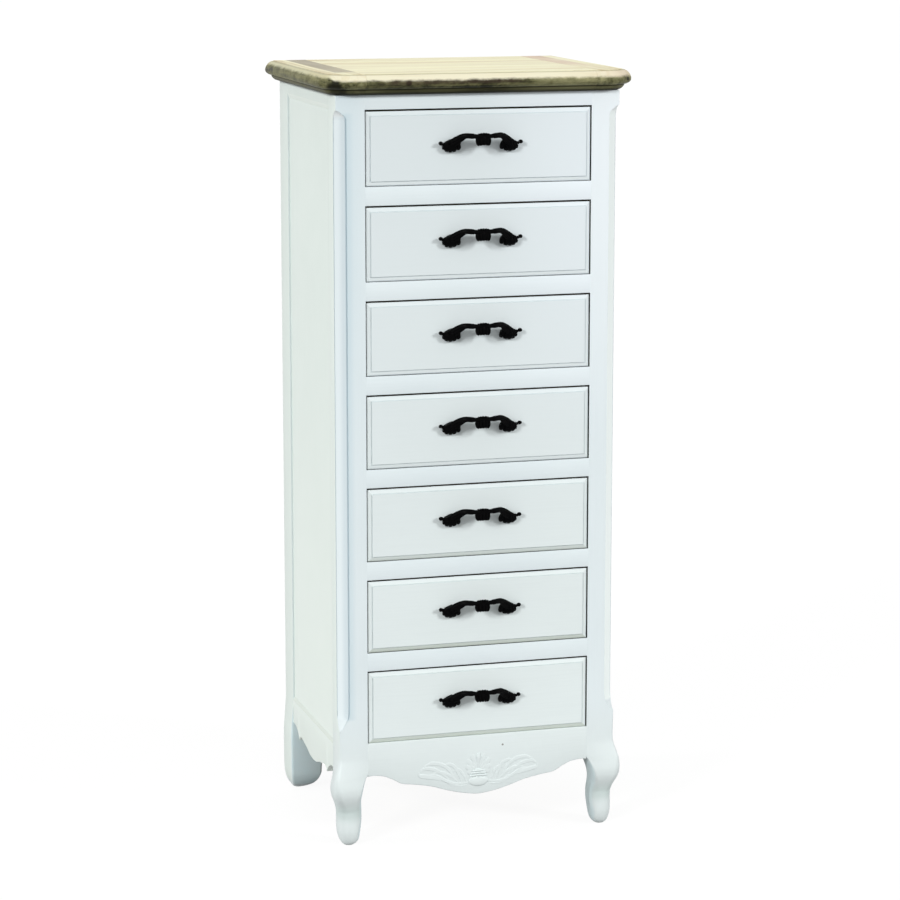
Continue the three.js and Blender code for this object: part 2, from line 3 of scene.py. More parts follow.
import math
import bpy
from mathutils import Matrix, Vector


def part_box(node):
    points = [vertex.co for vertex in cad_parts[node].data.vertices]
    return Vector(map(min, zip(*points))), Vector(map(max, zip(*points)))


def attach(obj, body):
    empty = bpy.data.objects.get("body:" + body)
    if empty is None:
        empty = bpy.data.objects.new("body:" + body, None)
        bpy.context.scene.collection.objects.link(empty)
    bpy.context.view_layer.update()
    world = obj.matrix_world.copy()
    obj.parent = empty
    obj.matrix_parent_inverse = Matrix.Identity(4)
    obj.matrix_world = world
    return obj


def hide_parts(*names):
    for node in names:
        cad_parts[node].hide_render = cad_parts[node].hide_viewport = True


bl_info = {
    "name": "Tall chest of seven drawers",
    "version": (1, 0, 0),
    "blender": (4, 5, 0),
    "location": "View3D > Sidebar > Chest",
    "description": "Builds the painted case, the boarded top, the cast pulls and the studio round them",
    "category": "Add Mesh",
}

import bmesh
import bpy
import numpy as np
from bpy.props import FloatProperty, FloatVectorProperty, IntProperty, PointerProperty
from mathutils import Vector

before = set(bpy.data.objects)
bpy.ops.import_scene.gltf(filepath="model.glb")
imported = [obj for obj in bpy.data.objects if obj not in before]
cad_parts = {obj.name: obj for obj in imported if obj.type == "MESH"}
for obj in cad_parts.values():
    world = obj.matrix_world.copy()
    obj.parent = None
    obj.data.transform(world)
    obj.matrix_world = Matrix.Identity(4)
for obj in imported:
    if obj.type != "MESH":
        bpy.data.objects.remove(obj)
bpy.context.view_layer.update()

MM = 0.001
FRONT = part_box("front_top_rail")[0].y


def reach_of(node):
    """Lowest and highest corner of a node in millimetres, with Y counted from the case's front."""
    low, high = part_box(node)
    shift = Vector((0, FRONT, 0))
    return (low - shift) / MM, (high - shift) / MM


CASE_HALF = -reach_of("left_side_apron")[0].x
CASE_DEPTH = reach_of("rear_left_post")[1].y
POST_INSIDE = -reach_of("front_left_post")[1].x
POST_WIDTH = CASE_HALF - POST_INSIDE
TOP_RAIL_LOW, TOP_RAIL_HIGH = reach_of("front_top_rail")
APRON_LOW, APRON_HIGH = reach_of("front_apron")
SIDE_RAIL_LOW, SIDE_RAIL_HIGH = reach_of("left_top_rail")
SIDE_APRON_LOW, SIDE_APRON_HIGH = reach_of("left_side_apron")
PANEL_LOW, PANEL_HIGH = reach_of("top_plank_panel")
SLAB_LOW, SLAB_HIGH = reach_of("top_left_board")
SLAB_HALF = -SLAB_LOW.x
SLAB_UNDER = SLAB_LOW.z
SLAB_TOP = PANEL_HIGH.z
PULL_LOW, PULL_HIGH = reach_of("drawer_1_pull")
DRAWERS = range(1, 8)
DIVIDERS = range(1, 7)

# Corners: how far a soft one bulges towards the sharp corner, and how much a hard one loses in millimetres
SOFT = 0.6
HARD = 0.05

# The front leg: height, then reach and flank of the knee, inner side, rounding and arris at each height
LEG_HEIGHT = 150
LEG_TOE = 8
LEG_LEVELS = (0, 3, 8, 15, 24, 33, 43, 53, 62, 70, 77, 85, 93, 100, 107, 112, 115.5, 121, 130, 140, 150)
LEG_REACH = (
    -10.0, -6.6, -3.8, -1.6, -0.2, 0.2, -0.1, -0.2, 1.7, 4.9,
    8.0, 10.6, 11.9, 12.2, 11.4, 10.3, 8.9, 6.7, 3.3, 0.7, 0,
)
LEG_FLANK = (
    -10.0, -6.6, -3.8, -1.6, -0.2, 0.0, -0.4, -0.3, 1.6, 4.2,
    6.8, 8.1, 7.6, 5.4, 2.7, 1.2, 0.3, 0, 0, 0, 0,
)
LEG_INNER = (
    23.9, 28.2, 31.2, 33.0, 34.3, 35.4, 36.3, 36.3, 35.6, 34.7,
    34.4, 35.0, 36.5, 38.3, 40.7, 43.0, 45, 45, 45, 45, 45,
)
LEG_ROUND = (6, 8, 10, 12, 13, 14, 14, 13, 12, 12, 12, 12, 12, 12, 11, 9.8, 8.4, 7, 5.6, 4.5, 3.5)
LEG_CUT = (4.8, 6, 6.5, 8, 11, 15, 17, 16, 13, 10, 8, 6, 4.8, 3.3, 1.8, 0.9, 0.3, 0.05, 0.05, 0.05, 0.05)
LEG_ARRIS = (4.8, 6, 6, 6, 6, 6, 6, 6, 6, 6, 6, 5.7, 4.8, 3.3, 1.8, 0.9, 0.3, 0.05, 0.05, 0.05, 0.05)
LEG_CUT_SIDE = 9
LEG_CUT_BULGE = 0.45

# The post's chamfer: widths on both faces, levels of its two stops, and how a stop grows to the full width
CHAMFER_FRONT = 16.6
CHAMFER_SIDE = 18
CHAMFER_LEVELS = (188, 218, 1135, 1151)
STOP_RUNS = (0, 0.12, 0.35, 0.65, 1)
STOP_CUTS = (0.08, 0.4, 0.68, 0.88, 1)
STOP_FRONT_CUTS = (0.05, 0.28, 0.6, 0.9, 1)
# The hollowed face of the chamfer, as share of the way from side to front and height over the chord
HOLLOW_RUNS = (0, 0.025, 0.05, 0.14, 0.26, 0.42, 0.58, 0.71, 0.81, 0.87, 0.93, 0.975, 1)
HOLLOW_RISES = (0, -0.7, -0.8, -0.5, -0.2, -0.1, -0.25, -0.6, -0.9, -1.2, -3.4, -3.2, 0)

# The rear foot: height, outward swell, then inner side, front and back counted from the case's corner
FOOT_LEVELS = (0, 3, 9, 18, 30, 60, 94.5, 117, 150)
FOOT_SWELL = (-8, -3.5, 0, 3, 4.5, 5, 5, 3, 0)
FOOT_INNER = (20.7, 29.3, 37.8, 44.1, 47.7, 48.6, 47.7, 45.9, 45)
FOOT_FRONT = (31.3, 37.8, 46.4, 52.9, 56.7, 57.8, 57.2, 54, 54)
FOOT_BACK = (11.9, 6.5, 2.2, 0.5, 0, 0, 0, 0, 0)
FOOT_TOE = 9
FOOT_ARRIS_LEVELS = (100, 140)
FOOT_ARRISES = (4.2, 0.6)
SIDE_BACK = CASE_DEPTH - FOOT_FRONT[-1]

# Lower edges of the aprons, as shares from the middle to the post and from the lowest to the highest point
APRON_RUNS = (0, 0.12, 0.28, 0.43, 0.58, 0.69, 0.78, 0.87, 0.955, 1)
APRON_RISES = (0, 0.06, 0.22, 0.42, 0.54, 0.61, 0.81, 0.96, 1, 0.98)
APRON_ARCH = 112
APRON_SOFTER = 2.2
SIDE_WAVE_RUNS = (0, 0.15, 0.3, 0.45, 0.58, 0.65, 0.69)
SIDE_WAVE_RISES = (0, 0.06, 0.28, 0.42, 0.53, 0.46, 0.26)
SIDE_ARCH_RUNS = (0.69, 0.72, 0.8, 0.9, 1)
SIDE_ARCH_RISES = (0.26, 0.46, 0.78, 0.96, 1)
SIDE_ARCH = 118
SIDE_SOFTER = 1.6

# Bevels of the side frame towards the panel, as depth and height
APRON_BEVEL = (3, 5)
RAIL_BEVEL = (2.8, 7.4)

# The slab's edge, as inset from the nose and height over the underside
LIP_EDGE = ((20.5, 0), (17.0, 0.9), (13.5, 2.9), (11.1, 5.6), (9.6, 8.2), (10.0, 8.9))
NOSE_EDGE = (
    (6.4, 9.8), (2.9, 11.7), (0.8, 14.0), (0, 17.0), (0.6, 21.1),
    (2.4, 25.0), (5.5, 28.5), (9.0, 30.6), (12.1, 31.2),
)
QUIRK_EDGE = ((12.5, 30.6), (13.0, 31.3), (13.2, 32.0))
# The slab's plain back edge, as inset from the back and height over the underside
BACK_INSET = 2
BACK_EDGE = ((BACK_INSET, 0), (0, 10), (0, 22), (0.6, 30.6), (BACK_INSET, 32))
# Corners of the slab: the clipped front ones and their rounding, and the rounding of the back ones
SLAB_CLIP = 29
CLIP_ROUND = 9
BACK_ROUND = 2
# Gaps between the boards: at the planks' ends, along the border's seam, and half of that between two planks
END_GAP = 0.05
SEAM_GAP = 0.3
PLANK_GAP = 0.12

# A drawer front: how far its border starts behind the case's front, and how much its upper edge is lowered
BORDER_SINK = 2.45
TOP_REVEAL = 0.8

# The pull: place over the drawer's middle, then its screws: place, length of the head, and radius along it
PULL_LIFT = 5.7
SCREW_HALF = 45
SCREW_HEAD = 2.5
SCREW_PROFILE = ((0, 2), (0, 4.5), (0.9, 4.5), (2.0, 3.6), (2.45, 1.6))


def length_property(name, description, default, least, most):
    return FloatProperty(
        name=name, description=description, default=default, min=least, max=most, unit="LENGTH",
    )


def colour_property(name, description, default):
    return FloatVectorProperty(
        name=name, description=description, default=default, size=3, min=0, max=1, subtype="COLOR",
    )


def angle_property(name, description, degrees):
    return FloatProperty(name=name, description=description, default=math.radians(degrees), subtype="ANGLE")


def strength_property(name, description, default):
    return FloatProperty(name=name, description=description, default=default, min=0, max=10)


class ChestSizes(bpy.types.PropertyGroup):
    """Small sizes that give the pieces their character."""

    arris: length_property("Arris", "Rounding of the painted edges", 0.0008, 0, 0.005)
    field_border: length_property(
        "Field border", "Width of the sloping border round a drawer's field", 0.007, 0.002, 0.03,
    )
    field_step: length_property("Field step", "Height of the small step inside the border", 0.0011, 0, 0.003)
    plank_arris: length_property("Plank arris", "Rounding of the planks' long edges", 0.0005, 0, 0.005)
    bar_radius: length_property("Pull bar radius", "Radius of the bar at its slimmest", 0.0031, 0.001, 0.006)
    carving_relief: length_property(
        "Carving relief", "How far the carving's leaves stand out of the apron", 0.0009, 0.0005, 0.003,
    )
    planks: IntProperty(name="Planks", description="Planks inside the top's border", default=5, min=1, max=12)


class ChestColours(bpy.types.PropertyGroup):
    """Colours of the finishes."""

    paint: colour_property("Paint", "White paint of the frame", (0.765, 0.838, 0.855))
    paint_shade: colour_property("Paint shade", "Greyer places of the paint", (0.715, 0.792, 0.812))
    front_paint: colour_property("Front paint", "White paint of the drawer fronts", (0.765, 0.835, 0.83))
    side_paint: colour_property("Side paint", "Warmer paint of the sides", (0.778, 0.855, 0.812))
    # Painted blue-grey shade on the rear feet under the side rails and on the front legs' inner sides
    painted_foot_shade: colour_property("Painted foot shade", "Painted blue-grey shade on the feet", (0.60, 0.73, 0.755))
    # Painted shade, near black, in the gaps round the drawers
    gap: colour_property("Gap", "Grime in the gaps round the drawers", (0.007, 0.011, 0.022))
    straw: colour_property("Straw", "Pale wood of the planks", (0.85, 0.82, 0.565))
    straw_streak: colour_property("Straw streak", "Streaks in the pale wood", (0.62, 0.52, 0.31))
    ash: colour_property("Ash", "Grey-brown wood of the left end board", (0.36, 0.32, 0.23))
    rose: colour_property("Rose", "Pinkish wood of the right end board", (0.60, 0.46, 0.34))
    cream: colour_property("Cream", "Rubbed upper round of the moulded edge", (0.76, 0.72, 0.54))
    tan: colour_property("Tan", "Lightest places of the moulded edge", (0.31, 0.30, 0.150))
    olive: colour_property("Olive", "Weathered wood of the moulded edge", (0.118, 0.116, 0.052))
    soot: colour_property("Soot", "Darkest places of the moulded edge", (0.006, 0.0055, 0.0015))
    iron: colour_property("Iron", "Antique casting", (0.0011, 0.0011, 0.0013))
    bare: colour_property("Bare wood", "Unpainted inside wood", (0.66, 0.50, 0.31))


class ChestStage(bpy.types.PropertyGroup):
    """Camera and lamps."""

    eye: FloatVectorProperty(
        name="Eye", description="Place of the camera", default=(-1.3411, -4.6349, 1.4975), size=3,
        subtype="TRANSLATION", unit="LENGTH",
    )
    turn: angle_property("Turn", "Camera's turn to the right", 16.18)
    tilt: angle_property("Tilt", "Camera's tilt downwards", 10.64)
    lens: FloatProperty(
        name="Lens", description="Focal length in millimetres", default=122.39, min=10, max=400,
    )
    key: strength_property("Key", "Strength of the lamp at the left", 1.55)
    fill: strength_property("Fill", "Strength of the lamp at the right", 1.5)
    side: strength_property("Side", "Strength of the lamp beside the chest", 0.62)
    room: strength_property("Room", "Strength of the even light all round", 0.5)


# Curves and meshes


def smooth_through(knots, values, at):
    """Cubic through the values that doesn't swing past them."""
    knots, values, at = (np.asarray(a, float) for a in (knots, values, at))
    step = np.diff(knots)
    slope = np.diff(values) / step
    tangent = np.zeros_like(values)
    product = slope[1:] * slope[:-1]
    total = np.where(np.abs(slope[1:] + slope[:-1]) < 1e-12, 1, slope[1:] + slope[:-1])
    tangent[1:-1] = np.where(product > 0, 2 * product / total, 0)
    tangent[0], tangent[-1] = slope[0], slope[-1]
    place = np.clip(np.searchsorted(knots, at, side="right") - 1, 0, len(step) - 1)
    t = np.clip((at - knots[place]) / step[place], 0, 1)
    a, b, h = values[place], values[place + 1], step[place]
    return (
        a * (1 + 2 * t) * (1 - t) ** 2 + tangent[place] * h * t * (1 - t) ** 2
        + b * t * t * (3 - 2 * t) + tangent[place + 1] * h * t * t * (t - 1)
    )


def curve_through(points, count):
    """Points along a smooth curve through the given points."""
    points = np.asarray(points, float)
    padded = np.vstack([2 * points[0] - points[1], points, 2 * points[-1] - points[-2]])
    at = np.linspace(0, len(points) - 1, count)
    place = np.minimum(at.astype(int), len(points) - 2)
    t = (at - place)[:, None]
    a, b, c, d = padded[place], padded[place + 1], padded[place + 2], padded[place + 3]
    return 0.5 * (
        2 * b + (c - a) * t + (2 * a - 5 * b + 4 * c - d) * t ** 2 + (3 * b - a - 3 * c + d) * t ** 3
    )


def corner(at, before, after, cut_before, cut_after, bulge, steps):
    """Points that take the place of one corner of an outline."""
    at, before, after = (np.asarray(a, float) for a in (at, before, after))
    start = at + (before - at) * (cut_before / np.linalg.norm(before - at))
    end = at + (after - at) * (cut_after / np.linalg.norm(after - at))
    pull = (start + end) / 2 * (1 - bulge) + at * bulge
    t = np.linspace(0, 1, steps + 1)[:, None]
    return (1 - t) ** 2 * start + 2 * t * (1 - t) * pull + t * t * end


def outline(corners, cuts):
    """A closed outline whose corners are cut or rounded as each (before, after, bulge, steps) says."""
    points = []
    for place, (at, cut) in enumerate(zip(corners, cuts)):
        points.extend(corner(at, corners[place - 1], corners[(place + 1) % len(corners)], *cut))
    return np.array(points)


def lofted(rings):
    """A closed skin over rings of the same count of points, capped at both ends."""
    rings = np.asarray(rings, float)
    levels, count = rings.shape[:2]
    faces = []
    for level in range(levels - 1):
        for step in range(count):
            low, high = level * count + step, level * count + (step + 1) % count
            faces.append((low, high, high + count, low + count))
    faces.append(tuple(reversed(range(count))))
    faces.append(tuple(range((levels - 1) * count, levels * count)))
    return rings.reshape(-1, 3), faces


def gathered(*parts):
    """Several parts as one."""
    points, faces, start = [], [], 0
    for part_points, part_faces in parts:
        points.append(np.asarray(part_points, float))
        faces.extend(tuple(v + start for v in face) for face in part_faces)
        start += len(part_points)
    return np.vstack(points), faces


def as_made(part):
    return part


def mirrored(part):
    """A part turned over from left to right."""
    points, faces = part
    return np.asarray(points) * (-1, 1, 1), [tuple(reversed(face)) for face in faces]


def block(low, high, arris):
    """A block whose upright corners and top and bottom edges are softly rounded."""
    steps = 2
    rings = []
    for level, inset in block_levels(low[2], high[2], arris, steps):
        x0, x1, y0, y1 = low[0] + inset, high[0] - inset, low[1] + inset, high[1] - inset
        soft = (arris, arris, SOFT, steps)
        flat = outline([(x0, y0), (x1, y0), (x1, y1), (x0, y1)], [soft] * 4)
        rings.append([(x, y, level) for x, y in flat])
    return lofted(rings)


def block_levels(bottom, top, arris, steps):
    """Heights of a block's rings, each with how far the ring lies inside the block's sides."""
    turns = [step / steps * math.pi / 2 for step in range(steps + 1)]
    low = [(bottom + arris * (1 - math.cos(a)), arris * (1 - math.sin(a))) for a in turns]
    high = [(top - arris * (1 - math.cos(a)), arris * (1 - math.sin(a))) for a in reversed(turns)]
    return low + high


def mesh_of(name, part, finish, crease=28, front=FRONT):
    """A mesh in metres in the shared frame, from points in millimetres counted from the case's front."""
    points, faces = part
    placed = np.asarray(points, float) * MM + (0, front, 0)
    mesh = bpy.data.meshes.new(name)
    mesh.from_pydata([tuple(p) for p in placed], [], faces)
    if mesh.validate(clean_customdata=False):
        raise RuntimeError(f"{name} had broken faces")
    shape = bmesh.new()
    shape.from_mesh(mesh)
    bmesh.ops.recalc_face_normals(shape, faces=shape.faces)
    shape.to_mesh(mesh)
    shape.free()
    mesh.polygons.foreach_set("use_smooth", [True] * len(mesh.polygons))
    mesh.set_sharp_from_angle(angle=math.radians(crease))
    mesh.materials.append(finish)
    return mesh


def settle(name, mesh, body, node, place=(0, 0, 0)):
    """Puts a mesh in its place, tied to its body, and hides the node that it stands for."""
    piece = bpy.data.objects.new(name, mesh)
    bpy.context.scene.collection.objects.link(piece)
    piece.location = place
    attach(piece, body)
    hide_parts(node)


def piece_of(name, part, finish, body, node, crease=28):
    settle(name, mesh_of(name, part, finish, crease), body, node)


def refinish(nodes, finish):
    """Gives a finish to nodes that are shown as they are."""
    for name in nodes:
        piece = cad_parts[name]
        if not piece.material_slots:
            piece.data.materials.append(finish)
        for place in piece.material_slots:
            place.material = finish


# Finishes


def tinted(colour, share):
    """A colour made so much lighter or darker."""
    return tuple(min(1, share * c) for c in colour)


def finer(along, times):
    """Grain cells made so many times finer, but not along the grain, where they are few."""
    few = 30
    return tuple(cells if cells < few else cells * times for cells in along)


class Finish:
    """A material put together from nodes, with places counted from the piece itself."""

    def __init__(self, name, specular=0.5, ior=1.45):
        self.material = bpy.data.materials.new(name)
        self.material.use_nodes = True
        self.tree = self.material.node_tree
        self.tree.nodes.clear()
        self.shader = self.add("ShaderNodeBsdfPrincipled", IOR=ior, Specular_IOR_Level=specular)
        output = self.add("ShaderNodeOutputMaterial")
        self.tree.links.new(self.shader.outputs[0], output.inputs["Surface"])
        self.place = self.add("ShaderNodeTexCoord").outputs["Object"]
        self.colours = bpy.context.scene.chest_colours

    def add(self, kind, options=None, **inputs):
        node = self.tree.nodes.new(kind)
        for key, value in (options or {}).items():
            setattr(node, key, value)
        for key, value in inputs.items():
            self.feed(node.inputs[key.replace("_", " ")], value)
        return node

    def feed(self, socket, value):
        if isinstance(value, bpy.types.NodeSocket):
            self.tree.links.new(value, socket)
        else:
            socket.default_value = value

    def noise(self, scale, detail=3.0, roughness=0.5, shift=(0, 0, 0), warp=0.0):
        """Cloudy noise with so many cells per metre along each axis."""
        mapping = self.add("ShaderNodeMapping", Vector=self.place, Scale=scale, Location=shift)
        node = self.add(
            "ShaderNodeTexNoise", Vector=mapping.outputs[0], Scale=1.0, Detail=detail,
            Roughness=roughness, Distortion=warp,
        )
        return node.outputs["Fac"]

    def axis(self, letter):
        """Place along an axis in metres, from the chest's middle and the floor."""
        return self.add("ShaderNodeSeparateXYZ", Vector=self.place).outputs[letter]

    def outward(self):
        """Distance to either side of the chest's middle."""
        return self.maths("ABSOLUTE", self.axis("X"))

    def behind_front(self, start=0.0):
        """Depth behind a plane that lies so far behind the case's front."""
        return self.maths("SUBTRACT", self.axis("Y"), FRONT + start)

    def facing(self, letter):
        """How far a face looks along an axis, from minus one to one."""
        normal = self.add("ShaderNodeNewGeometry").outputs["Normal"]
        return self.add("ShaderNodeSeparateXYZ", Vector=normal).outputs[letter]

    def sideways(self):
        """How far a face looks to either side, from nought to one."""
        return self.maths("ABSOLUTE", self.facing("X"))

    def maths(self, operation, a, b=0.0, c=0.0):
        node = self.add("ShaderNodeMath", {"operation": operation})
        for socket, value in zip(node.inputs, (a, b, c)):
            self.feed(socket, value)
        return node.outputs[0]

    def product(self, first, *others):
        for other in others:
            first = self.maths("MULTIPLY", first, other)
        return first

    def swung(self, start, *swings):
        """A value with noises added to it, each swung about nought and made so much stronger."""
        for noise, strength in swings:
            start = self.maths("ADD", start, self.product(self.maths("SUBTRACT", noise, 0.5), strength))
        return start

    def spread(self, value, low, high, to_low=0.0, to_high=1.0):
        """The value's run from low to high, carried over to another run and held there."""
        node = self.add(
            "ShaderNodeMapRange", {"interpolation_type": "SMOOTHSTEP", "clamp": True},
            Value=value, From_Min=low, From_Max=high, To_Min=to_low, To_Max=to_high,
        )
        return node.outputs["Result"]

    def rising(self, value, low, high, most=1.0):
        """Nought up to low, and the most from high on."""
        return self.spread(value, low, high, 0.0, most)

    def falling(self, value, low, high, most=1.0):
        """The most up to low, and nought from high on."""
        return self.spread(value, low, high, most, 0.0)

    def between(self, value, low, high, soft):
        """One between the two limits, and nought outside them."""
        return self.product(self.rising(value, low - soft, low), self.falling(value, high, high + soft))

    def near(self, places, radius, soft):
        """One near any of the places, given in metres in the shared frame, and nought away from them."""
        best = 0.0
        for place in places:
            away = self.add("ShaderNodeVectorMath", {"operation": "DISTANCE"})
            self.feed(away.inputs[0], self.place)
            self.feed(away.inputs[1], place)
            best = self.maths("MAXIMUM", best, self.falling(away.outputs["Value"], radius, radius + soft))
        return best

    def ramp(self, value, stops):
        node = self.add("ShaderNodeValToRGB", Fac=value)
        elements = node.color_ramp.elements
        while len(elements) < len(stops):
            elements.new(0.5)
        for element, (place, colour) in zip(elements, stops):
            element.position = place
            element.color = (*colour, 1)
        return node.outputs["Color"]

    def mix(self, share, first, second):
        node = self.add("ShaderNodeMix", {"data_type": "RGBA"})
        self.feed(node.inputs[0], share)
        for socket, value in ((node.inputs[6], first), (node.inputs[7], second)):
            self.feed(socket, value if isinstance(value, bpy.types.NodeSocket) else (*value, 1))
        return node.outputs[2]

    def finished(self, colour, roughness, height, strength, distance):
        """The material with its colour and roughness, and a skin of so much height in metres."""
        self.feed(self.shader.inputs["Base Color"], colour)
        self.feed(self.shader.inputs["Roughness"], roughness)
        bump = self.add("ShaderNodeBump", Height=height, Strength=strength, Distance=distance)
        self.feed(self.shader.inputs["Normal"], bump.outputs[0])
        return self.material


def kept(name, make):
    """The named finish, made once."""
    return bpy.data.materials.get(name) or make(name)


# Finishes: paint

CHIPS = (
    (-0.1195, FRONT, 0.0795), (0.0400, FRONT, 0.1465),
    (-0.2250, FRONT + 0.2836, 0.9430), (-0.2110, FRONT + 0.0006, 0.0560),
)
CHIP_SIZE = 0.0011
CHIP_WOOD = (0.11, 0.09, 0.07)
BRUSHED_UPRIGHT = (420, 420, 14)
BRUSHED_LENGTHWISE = (14, 420, 420)
# The ankle's level in metres, and the painted shade round it
ANKLE = 0.054
ANKLE_PAINTED_SHADE = (0.44, 0.555, 0.52)
# The chamfer: both ends of its hollow's painted shading, painted shade beside it and on its lines and rim,
# and painted light on it and its upper stop
HOLLOW_SHADES = ((0.675, 0.765, 0.80), (0.785, 0.865, 0.885))
CHAMFER_PAINTED_SHADE = (0.54, 0.67, 0.72)
CHAMFER_LINE_SHADE = (0.26, 0.35, 0.41)
CHAMFER_RIM_SHADE = (0.42, 0.48, 0.48)
CHAMFER_PAINTED_LIGHT = (0.93, 1.0, 0.985)
STOP_PAINTED_LIGHT = (0.95, 1.0, 1.0)
# Painted light and shade over the height: the lighter tone high up at the right, and the darker one high up
# at the left
POST_LIGHT_AND_SHADE = ((0.83, 0.892, 0.92), (0.675, 0.77, 0.80))
RAIL_LIGHT_AND_SHADE = ((0.82, 0.885, 0.925), (0.70, 0.79, 0.82))
# Painted light on the drawer fronts high up at the right
FRONT_PAINTED_LIGHT = (0.765, 0.83, 0.86)
# Painted shade on the rear feet's forward faces
FOOT_PAINTED_SHADE = (0.56, 0.63, 0.61)
SIDE_LOW = (0.83, 0.90, 0.85)
# Painted shade on the sides' upward bevels, and painted light on their downward ones
SIDE_BEVEL_SHADE = (0.66, 0.72, 0.665)
SIDE_BEVEL_LIGHT = (0.86, 0.93, 0.875)
# Painted shade on a drawer front's downward bevels and steps, low down and high up, then painted light on its
# lower bevel high up, and painted shade in its groove
BEVEL_PAINTED_SHADES = ((0.52, 0.58, 0.45), (0.66, 0.75, 0.80))
BEVEL_PAINTED_LIGHT = (0.93, 1.0, 1.0)
GROOVE_PAINTED_SHADE = (0.42, 0.52, 0.54)
# How far above the chamfer's lower stop and below its upper one its painted light and shade begin, in
# millimetres
CHAMFER_SHADING_START = (20, 8)


def painted(name, light, shade, brushed, wear_and_light=None):
    """Brushed white paint: soft clouds of tone, faint brush marks, a few chips down to brown wood."""
    f = Finish(name, specular=0.28, ior=1.46)
    clouds = f.noise((2.6, 2.6, 2.2), detail=3, roughness=0.55)
    tone = f.ramp(clouds, [(0.30, shade), (0.62, light)])
    streaks = f.noise(brushed, detail=4, roughness=0.6)
    tone = f.mix(f.rising(streaks, 0.35, 0.75, 0.10), tone, tinted(shade, 0.86))
    ragged = f.rising(f.noise((900, 900, 900), detail=2), 0.34, 0.46)
    chip = f.product(f.near(CHIPS, CHIP_SIZE, 0.0008), ragged)
    tone = f.mix(chip, tone, CHIP_WOOD)
    # Each part's wear and its painted light and shade
    if wear_and_light:
        tone = wear_and_light(f, tone)
    roughness = f.spread(f.noise((18, 18, 18), detail=2), 0.3, 0.7, 0.50, 0.60)
    return f.finished(tone, roughness, f.maths("SUBTRACT", streaks, chip), 0.18, 0.0003)


def gap_shade_then_bare_wood(start, half=None):
    """Painted shade in the drawer openings from so far behind the case's front, fading into bare wood deeper
    in.

    With half, it stays between the posts' inner sides and above the legs.
    """

    def wear_and_light(f, tone):
        depth = f.behind_front(start)
        share = f.rising(depth, 0.0, 0.0012)
        grain = f.rising(f.noise((40, 40, 3), detail=4), 0.3, 0.7)
        wood = f.mix(grain, tinted(f.colours.bare, 0.62), tinted(f.colours.bare, 0.86))
        # Painted shade, near black, for the first few millimetres behind the start, then fading into bare
        # wood
        wood = f.mix(f.rising(depth, 0.003, 0.0095), f.colours.gap, wood)
        if half:
            floor = LEG_HEIGHT * MM
            inner = f.falling(f.outward(), half, half + 0.0003)
            share = f.product(share, inner, f.rising(f.axis("Z"), floor, floor + 0.01))
        return f.mix(share, tone, wood)

    return wear_and_light


def side_faced(f, tone, share):
    """The warmer paint of the sides on the faces that look sideways, so much lighter or darker."""
    return f.mix(f.rising(f.sideways(), 0.86, 0.96), tone, tinted(f.colours.side_paint, share))


def lit_right_shaded_left(f, tone, painted_lit, painted_dim):
    """Painted light high up at the right and painted shade high up at the left."""
    across, height = f.axis("X"), f.axis("Z")
    right = f.product(f.rising(across, -0.04, 0.20), f.rising(height, 0.50, 1.10))
    left = f.product(f.falling(across, -0.205, -0.165), f.rising(height, 0.45, 1.0, 0.9))
    return f.mix(left, f.mix(right, tone, painted_lit), painted_dim)


def leg_painted_shade(f, tone):
    """The front legs: a little greyer low down, with painted shade round the ankle and on the inner sides."""
    height = f.axis("Z")
    tone = f.mix(f.falling(height, 0.10, 0.24), tone, tinted(f.colours.front_paint, 0.94))
    # Painted shade round the ankle
    from_ankle = f.maths("ABSOLUTE", f.maths("SUBTRACT", height, ANKLE))
    tone = f.mix(f.falling(from_ankle, 0.002, 0.022, 0.42), tone, ANKLE_PAINTED_SHADE)
    # Blue-grey painted shade on the legs' inner sides, below the side rails
    turned_out = f.product(f.facing("X"), f.maths("SIGN", f.axis("X")))
    inner = f.product(f.falling(turned_out, -0.85, -0.5, 0.75), f.falling(height, 0.10, 0.118))
    return f.mix(inner, tone, f.colours.painted_foot_shade)


